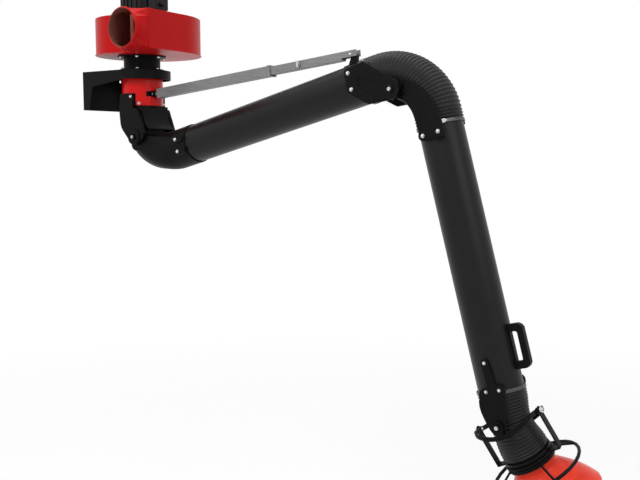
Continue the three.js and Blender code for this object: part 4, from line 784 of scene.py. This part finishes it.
def elbow_form():
    """Round elbow over the hose with a sleeve on the inner tube, two lugs and a pivot ear on each side."""
    def placed(ring, s=None):
        return [inner(p.x if s is None else s, p.y, p.z) for p in ring]

    run = [i / 24 for i in range(25)]
    wall, sleeve_wall, sleeve, end = 0.005, 0.0035, 0.1655, 0.266
    outside = [placed(elbow_section(f, 0)) for f in run] + [placed(elbow_section(1, 0), end)]
    inside = [placed(elbow_section(f, wall)) for f in run]
    inside += [placed(elbow_section(1, sleeve_wall), s) for s in (sleeve, end)]
    elbow = bmesh.new()
    skin(elbow, outside + inside[::-1], True)
    lug, ear = 0.017, 0.028
    steps = []
    for _, sign in SIDES:
        for t in (-LUG_HALF, LUG_HALF):
            outline = web((LUG_AT, t, lug), (0.249, t, lug))
            steps.append(("UNION", prism(inner, outline, sign * 0.072, sign * LUG_FACE)))
        outline = web((0, SHOULDER_DROP, ear), (-0.016, 0.068, ear), (0.016, 0.068, ear))
        steps.append(("UNION", prism(inner, outline, sign * 0.0795, sign * 0.0829)))
    return carve(elbow, *steps)


# Middle joint

def cheek_form(sign):
    """Cheek on the inner tube: foot and plate, a recessed panel and a boss round the pin."""
    pivot, boss, groove, corner = (INNER_SPAN, -MIDDLE_DROP), 0.036, 0.039, 0.006
    brow = ((CHEEK_AT, CHEEK_HALF, 0.018), (CHEEK_AT, -CHEEK_HALF, 0.018), (1.200, 0.040, 0.012))
    plate = web(*brow, (1.195, -0.088, 0.014), (*pivot, boss))
    foot = web(*brow, (1.200, -0.030, 0.012))
    corners = ((1.171, -0.003), (1.171, -0.029), (1.219, -0.088), (1.255, -0.045))
    panel = web(*((s, t, corner) for s, t in corners))
    rim = prism(inner, circle(*pivot, groove, 48), sign * 0.100, sign * 0.110)
    pocket = carve(prism(inner, panel, sign * 0.1024, sign * 0.108), ("DIFFERENCE", rim))
    cut = bmesh.new()
    cut.from_mesh(pocket)
    bpy.data.meshes.remove(pocket)
    return carve(
        prism(inner, plate, sign * 0.098, sign * CHEEK_FACE),
        ("UNION", prism(inner, foot, sign * 0.070, sign * 0.099)),
        ("DIFFERENCE", cut),
        ("UNION", prism(inner, circle(*pivot, boss, 48), sign * 0.099, sign * CHEEK_BOSS)),
    )


def link_form(name, sign):
    """Curved link to the outer tube: band with a raised head and inner rail, a shoe and a pad."""
    knots = [math.pi / 2 * i / 30 for i in range(31)]
    spine = [(0.1045 * math.sin(t) - MIDDLE_OUT, -0.165 * (1 - math.cos(t))) for t in knots]
    end, spread, rail_wide = 0.034, 0.014, 0.020
    wide = [end + spread * i / 30 for i in range(31)]

    def edge(share, shift=0.0):
        """Line beside the spine: share -1 its inner edge, 1 its outer edge, moved out by a shift."""
        return [
            (x + (share * w + shift) * math.sin(t), z + (share * w + shift) * math.cos(t))
            for (x, z), w, t in zip(spine, wide, knots)
        ]

    turn = [math.pi * (0.5 + i / 16) for i in range(1, 16)]
    cap = [(-MIDDLE_OUT + end * math.cos(a), end * math.sin(a)) for a in turn]
    band = edge(1)[::-1] + cap + edge(-1)
    rail = edge(-1, rail_wide)[::-1] + edge(-1)
    head = edge(1)[:11][::-1] + cap + edge(-1)[:11]
    reach, half = PADS[name]
    pad = [(p + reach, q + LINK_LOW) for p, q in round_square(half, 0.004)]
    shoe = web((LINK_AT, LINK_LOW, 0.018), (reach, LINK_LOW, half - 0.005), (0.003, -0.165, 0.040))
    return carve(
        prism(outer, band, sign * 0.0866, sign * 0.0930),
        ("UNION", prism(outer, head, sign * 0.0870, sign * LINK_FACE)),
        ("UNION", prism(outer, rail, sign * 0.0870, sign * LINK_FACE)),
        ("UNION", prism(outer, shoe, sign * 0.070, sign * 0.0940)),
        ("UNION", prism(outer, pad, sign * 0.0880, sign * PAD_FACE)),
        ("UNION", prism(outer, circle(LINK_AT, LINK_LOW, 0.015), sign * 0.0880, sign * LINK_FACE)),
    )


def pin_cap(name, sign):
    """Turned cap of the middle pin."""
    stem, cap = 0.008, 0.0145
    profile = [
        (stem, 0.087), (stem, 0.1180), (cap, CHEEK_BOSS), (cap, 0.1216), (0.0125, 0.1237),
        (0.0085, MIDDLE_PIN), (stem, 0.1247),
    ]
    bm = bmesh.new()
    turned(bm, profile, MIDDLE, sign * Y, 32)
    obj = made(f"elbow_pin_{name}_turned", bm, finish("plate"))
    level_faces(obj.data, 40.0)
    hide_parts(f"elbow_pin_{name}")
    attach(obj, "inner_arm")


# Operators

class ARM_OT_inner_works(bpy.types.Operator):
    """Give the pieces inside the arm their finish"""
    bl_idname = "arm.inner_works"
    bl_label = "Inner works"

    def execute(self, context):
        for look, nodes in INSIDE.items():
            for node in nodes:
                slots = frame["nodes"][node].data.materials
                slots.clear()
                slots.append(finish(look))
        return {"FINISHED"}


class ARM_OT_skins(bpy.types.Operator):
    """Dress tubes, mouldings, sheet and castings with rounded edges and their finish"""
    bl_idname = "arm.skins"
    bl_label = "Skins"

    def execute(self, context):
        for look, nodes in DRESSED.items():
            for node in nodes:
                obj = rounded(f"{node}_skin", frame["nodes"][node].data, sizes().edge, finish(look))
                # Picked faces take a second finish, a painted shade
                if node in PAINTED_SHADE_FACES:
                    shade_look, inside = PAINTED_SHADE_FACES[node]
                    obj.data.materials.append(finish(shade_look))
                    for face in inside(obj.data):
                        face.material_index = 1
                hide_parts(node)
                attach(obj, BODY_OF[node])
        return {"FINISHED"}


class ARM_OT_shoulder(bpy.types.Operator):
    """Mould the shoulder yoke and the shoulder elbow"""
    bl_idname = "arm.shoulder"
    bl_label = "Shoulder"

    def execute(self, context):
        moulded("shoulder_yoke_moulded", yoke_form(), "swivel", "shoulder_yoke")
        moulded("shoulder_elbow_moulded", elbow_form(), "inner_arm", "shoulder_elbow")
        return {"FINISHED"}


class ARM_OT_middle(bpy.types.Operator):
    """Mould the cheeks, the curved links and the pivot caps of the middle joint"""
    bl_idname = "arm.middle"
    bl_label = "Middle joint"

    def execute(self, context):
        for name, sign in SIDES:
            moulded(f"elbow_cheek_{name}_moulded", cheek_form(sign), "inner_arm", f"elbow_cheek_{name}")
            moulded(f"elbow_link_{name}_moulded", link_form(name, sign), "outer_arm", f"elbow_link_{name}")
            pin_cap(name, sign)
        return {"FINISHED"}


class ARM_OT_wrist(bpy.types.Operator):
    """Mould the side plates of the wrist, with a full outer edge that covers the hose"""
    bl_idname = "arm.wrist"
    bl_label = "Wrist plates"

    def execute(self, context):
        edge = [
            (-0.020, -1.100), (-0.0433, -1.103), (-0.0485, -1.116), (-0.0508, -1.134), (-0.0492, -1.154),
            (-0.0440, -1.176), (-0.0380, -1.198), (-0.0309, -1.2163), (-0.014, -1.214),
        ]
        for name, sign in SIDES:
            plate = bmesh.new()
            plate.from_mesh(frame["nodes"][f"wrist_plate_{name}"].data)
            bmesh.ops.remove_doubles(plate, verts=plate.verts, dist=2e-5)
            full = carve(plate, ("UNION", prism(outer, edge, sign * PLATE_INNER, sign * PLATE_FACE)))
            moulded(f"wrist_plate_{name}_moulded", full, "outer_arm", f"wrist_plate_{name}")
        return {"FINISHED"}


class ARM_OT_hoses(bpy.types.Operator):
    """Make the ribbed hoses of the shoulder, the middle joint and the wrist"""
    bl_idname = "arm.hoses"
    bl_label = "Hoses"

    def execute(self, context):
        s = sizes()
        crest, valley = 0.072, 0.0705
        low = shoulder_route(crest)
        hose = ribbed("shoulder_hose_ribbed", low, 0.0, low[1], crest, valley)
        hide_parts("shoulder_hose")
        inner(0.12, 0, 0.0)
        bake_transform(hose)
        middle = bend_route()
        hose = ribbed("elbow_hose_ribbed", middle, 0.0, middle[1], s.crest, s.valley)
        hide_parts("elbow_hose")
        inner(1.2, 0, 0)
        outer(0, 0, -0.12)
        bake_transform(hose)
        wrist = wrist_route()
        slim = s.crest - 0.0008
        ribs, step = rib_steps(wrist[1])
        places = [s.cuff + k * step for k in range(ribs + 1)]
        half = min(places, key=lambda w: abs((wrist[0](w)[0] - WRIST).dot(UPWARD)))
        waist = wrist[0](half)[0]
        upper = ribbed("wrist_hose_upper", wrist, 0.0, half, slim, s.valley)
        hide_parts("wrist_hose")
        WRIST + 0.088 * UPWARD
        waist + 0.012 * UPWARD
        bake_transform(upper)
        lower = ribbed("wrist_hose_lower", wrist, half, wrist[1], slim, s.valley)
        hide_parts("wrist_hose")
        hood(0, 0, -0.056)
        hood(0, 0, -0.124)
        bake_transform(lower)
        return {"FINISHED"}


def bolt(bm, at, axis, size=1.0, dome=True):
    """Bolt head on a washer, seated at a point: domed, or flat with a socket."""
    s = sizes()
    r, w = s.bolt * size, s.washer * size
    profile = [(w, -0.0005), (w, 0.0010), (w * 0.96, 0.0014), (r * 1.05, 0.0014), (r * 1.05, 0.0030)]
    if dome:
        profile += [(r, 0.0038), (r * 0.9, 0.0054), (r * 0.66, 0.0068), (r * 0.3, 0.0076), (0.0002, 0.0078)]
    else:
        profile += [(r, 0.0042), (r * 0.5, 0.0044), (r * 0.42, 0.0028), (0.0002, 0.0028)]
    turned(bm, profile, at, axis, 20)


def bolts(name, body, places, size=1.0, dome=True):
    bm = bmesh.new()
    for at, axis in places:
        bolt(bm, at, axis, size, dome)
    obj = made(name, bm, finish("zinc"))
    level_faces(obj.data, 40.0)
    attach(obj, body)


class ARM_OT_fasteners(bpy.types.Operator):
    """Bolts and screws on the flanges, cheeks, lugs, plates and pivots"""
    bl_idname = "arm.fasteners"
    bl_label = "Fasteners"

    def execute(self, context):
        count, first = 6, 3
        low_face, low_radius, high_face, high_radius = 0.0913, 0.0895, 0.1437, 0.0955
        ring = []
        for k in range(count):
            t = math.radians(first + 360 / count * k)
            out = Vector((math.cos(t), math.sin(t), 0))
            ring.append((COLUMN + low_face * Z + low_radius * out, Z))
            ring.append((COLUMN + high_face * Z + high_radius * out, -Z))
        bolts("flange_bolts", "bracket", ring)
        lean, apron_radius, apron_low = math.radians(54.5), 0.0897, 0.060
        for name, sign in SIDES:
            y = sign * Y
            out = Vector((math.cos(lean), sign * math.sin(lean), 0))
            apron = [
                (COLUMN + apron_radius * out - apron_low * Z, out),
                (Vector((0.2795, sign * 0.0998, -0.031)), y),
            ]
            bolts(f"collar_bolts_{name}", "swivel", apron, 0.9)
            bolts(f"shoulder_screw_{name}", "swivel", [(SHOULDER + SHOULDER_PIN * y, y)], 0.9, False)
            lugs = [(inner(LUG_AT, sign * LUG_FACE, t), y) for t in (-LUG_HALF, LUG_HALF)]
            bolts(f"lug_bolts_{name}", "inner_arm", lugs)
            cheek = [(inner(CHEEK_AT, sign * CHEEK_FACE, t), y) for t in (-CHEEK_HALF, CHEEK_HALF)]
            bolts(f"cheek_bolts_{name}", "inner_arm", cheek)
            bolts(f"boss_screw_{name}", "inner_arm", [(MIDDLE + MIDDLE_PIN * y, y)], 0.9, False)
            link = [
                (outer(LINK_AT, sign * LINK_FACE, LINK_LOW), y),
                (outer(PADS[name][0], sign * PAD_FACE, LINK_LOW), y),
            ]
            bolts(f"link_bolts_{name}", "outer_arm", link)
            corners = ((0.003, -0.989), (-0.014, -1.086), (0.0345, -1.086))
            plate = [(outer(p, sign * PLATE_FACE, q), y) for p, q in corners]
            bolts(f"plate_bolts_{name}", "outer_arm", plate, 0.8)
            bolts(f"wrist_screw_{name}", "outer_arm", [(WRIST + WRIST_PIN * y, y)], 0.9, False)
            tilt = [(WRIST - sign * TILT_PIN * CROSS, -sign * CROSS)]
            bolts(f"tilt_screw_{name}", "hood", tilt, 0.8, False)
        return {"FINISHED"}


class ARM_OT_rod_screws(bpy.types.Operator):
    """Wing screw and end bolts of the balance rod"""
    bl_idname = "arm.rod_screws"
    bl_label = "Rod screws"

    def execute(self, context):
        wing_at, end_at = 0.7875, 1.024
        bm = bmesh.new()
        at = on_rod(wing_at, -0.0160, 0.003)
        turned(bm, [(0.0062, 0), (0.0062, 0.005), (0.0050, 0.006), (0.0046, 0.011), (0.003, 0.012)], at, -Y)
        block(bm, at - 0.013 * Y + 0.001 * ROD_UP, ROD, ROD_UP, Y, (0.0045, 0.0135, 0.0030), 0.0014)
        wing = made("rod_wing_screw", bm, finish("zinc"))
        level_faces(wing.data, 40.0)
        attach(wing, "rod_slider")
        bolts("rod_end_bolt", "rod_slider", [(on_rod(end_at, -0.0162, 0.0), -Y)], 0.8)
        return {"FINISHED"}


class ARM_OT_clamp_screws(bpy.types.Operator):
    """Screw housings of the hose clamps"""
    bl_idname = "arm.clamp_screws"
    bl_label = "Clamp screws"

    def execute(self, context):
        band = 0.0875
        places = (
            ("elbow_clamp_lower_screw", "outer_arm", outer(0, 0, -0.156), OUTWARD, Y, UPWARD, -58.0),
            ("elbow_clamp_upper_screw", "inner_arm", inner(1.157, 0, 0), ABOVE, Y, ALONG, 20.0),
            ("wrist_clamp_upper_screw", "outer_arm", WRIST + 0.111 * UPWARD, OUTWARD, Y, UPWARD, 160.0),
            ("wrist_clamp_lower_screw", "hood", hood(0, 0, -0.131), CROSS, HOOD_ACROSS, HOOD_UP, 100.0),
        )
        for name, body, centre, a, b, axis, degrees in places:
            t = math.radians(degrees)
            out = math.cos(t) * a + math.sin(t) * b
            side = axis.cross(out)
            at = centre + band * out
            bm = bmesh.new()
            block(bm, at, side, axis, out, (0.0095, 0.0066, 0.0030), 0.0012)
            turned(bm, [(0.0036, 0), (0.0036, 0.006), (0.0030, 0.0068), (0.0012, 0.0068), (0.0010, 0.0055)],
                   at + 0.008 * side + 0.001 * out, side, 12)
            screw = made(name, bm, finish("zinc"))
            level_faces(screw.data, 40.0)
            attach(screw, body)
        return {"FINISHED"}


def studio_floor():
    """Pale floor that keeps the shadow and fades to white far from the arm."""
    bm = bmesh.new()
    bmesh.ops.create_grid(bm, x_segments=8, y_segments=8, size=40.0)
    pale = coated("floor_pale", colours().floor, 0.85, 0.05, 60.0, 0.0004, 0.01, 0.0)
    ground = Graph(pale)
    where = ground.node("ShaderNodeTexCoord", out="Object")
    away = ground.node("ShaderNodeVectorMath", {0: where}, out="Value", operation="LENGTH")
    glow = ground.seen() * away.between(2.0, 9.0, 0.60, 1.0)
    white = ground.mix(glow, (0.0, 0.0, 0.0, 1.0), (1.0, 1.0, 1.0, 1.0))
    ground.set("Principled BSDF", Emission_Color=white, Emission_Strength=0.62)
    floor = made("floor", bm, pale)
    floor.location = (1.0, 0.0, sizes().floor)
    floor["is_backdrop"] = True


def studio_light(scene):
    """White surroundings at a plain level, and three soft lamps."""
    world = Graph(bpy.data.worlds.new("studio"))
    scene.world = world.owner
    strength = world.seen().between(0.0, 1.0, 0.42, 1.0)
    world.set("Background", Color=(1.0, 1.0, 1.0, 1.0), Strength=strength)
    middle = Vector((1.2, 0, -0.4))
    for name, place, size, power in (
        ("key", (0.3, -3.8, 2.6), 2.0, 95.0),
        ("fill", (4.6, -1.0, 1.4), 2.2, 26.0),
        ("top", (1.2, 0.4, 3.4), 2.6, 60.0),
    ):
        light = bpy.data.lights.new(name, "AREA")
        light.size = size
        light.energy = power
        lamp = bpy.data.objects.new(name, light)
        scene.collection.objects.link(lamp)
        lamp.location = place
        lamp.rotation_euler = (middle - Vector(place)).to_track_quat("-Z", "Y").to_euler()


def studio_camera(scene):
    """Camera at the photograph's viewing angle."""
    place = (3.1181, -2.7421, -0.2516)
    yaw, pitch, roll = (math.radians(angle) for angle in (34.767, 6.138, 0.035))
    camera = bpy.data.cameras.new("camera")
    camera.sensor_fit = "HORIZONTAL"
    camera.sensor_width = 36.0
    camera.lens = 48.356
    camera.clip_end = 100.0
    eye = bpy.data.objects.new("camera", camera)
    scene.collection.objects.link(eye)
    level = math.cos(pitch)
    ahead = Vector((-math.sin(yaw) * level, math.cos(yaw) * level, -math.sin(pitch)))
    right = Vector((math.cos(yaw), math.sin(yaw), 0))
    rise = right.cross(ahead)
    turn = Matrix((right, rise, -ahead)).transposed() @ Matrix.Rotation(roll, 3, "Z")
    eye.matrix_world = Matrix.Translation(place) @ turn.to_4x4()
    scene.camera = eye


class ARM_OT_stage(bpy.types.Operator):
    """Pale floor, soft lights, white surroundings and the camera"""
    bl_idname = "arm.stage"
    bl_label = "Stage"

    def execute(self, context):
        studio_floor()
        studio_light(context.scene)
        studio_camera(context.scene)
        context.scene.view_settings.view_transform = "Standard"
        return {"FINISHED"}


class ARM_PT_panel(bpy.types.Panel):
    """Sizes, colours and the steps that build the arm"""
    bl_idname = "ARM_PT_panel"
    bl_label = "Fume extraction arm"
    bl_space_type = "VIEW_3D"
    bl_region_type = "UI"
    bl_category = "Arm"

    def draw(self, context):
        for group in (context.scene.arm_sizes, context.scene.arm_colours):
            box = self.layout.box()
            for key in group.__annotations__:
                box.prop(group, key)
        for step in STEPS:
            self.layout.operator(step.bl_idname)


STEPS = (
    ARM_OT_stage, ARM_OT_inner_works, ARM_OT_skins, ARM_OT_shoulder, ARM_OT_middle, ARM_OT_wrist,
    ARM_OT_hoses, ARM_OT_fasteners, ARM_OT_rod_screws, ARM_OT_clamp_screws,
)
CLASSES = (ArmSizes, ArmColours) + STEPS + (ARM_PT_panel,)


def register():
    for cls in CLASSES:
        bpy.utils.register_class(cls)
    bpy.types.Scene.arm_sizes = PointerProperty(type=ArmSizes)
    bpy.types.Scene.arm_colours = PointerProperty(type=ArmColours)


def unregister():
    del bpy.types.Scene.arm_colours
    del bpy.types.Scene.arm_sizes
    for cls in reversed(CLASSES):
        bpy.utils.unregister_class(cls)


def main():
    register()
    bpy.ops.arm.stage()
    bpy.ops.arm.inner_works()
    bpy.ops.arm.skins()
    bpy.ops.arm.shoulder()
    bpy.ops.arm.middle()
    bpy.ops.arm.wrist()
    bpy.ops.arm.hoses()
    bpy.ops.arm.fasteners()
    bpy.ops.arm.rod_screws()
    bpy.ops.arm.clamp_screws()
    boxes = {"cad": CAD_BOX, "visual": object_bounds()}
    plain = {key: [[float(v) for v in corner] for corner in box] for key, box in boxes.items()}


if __name__ == "__main__":
    main()
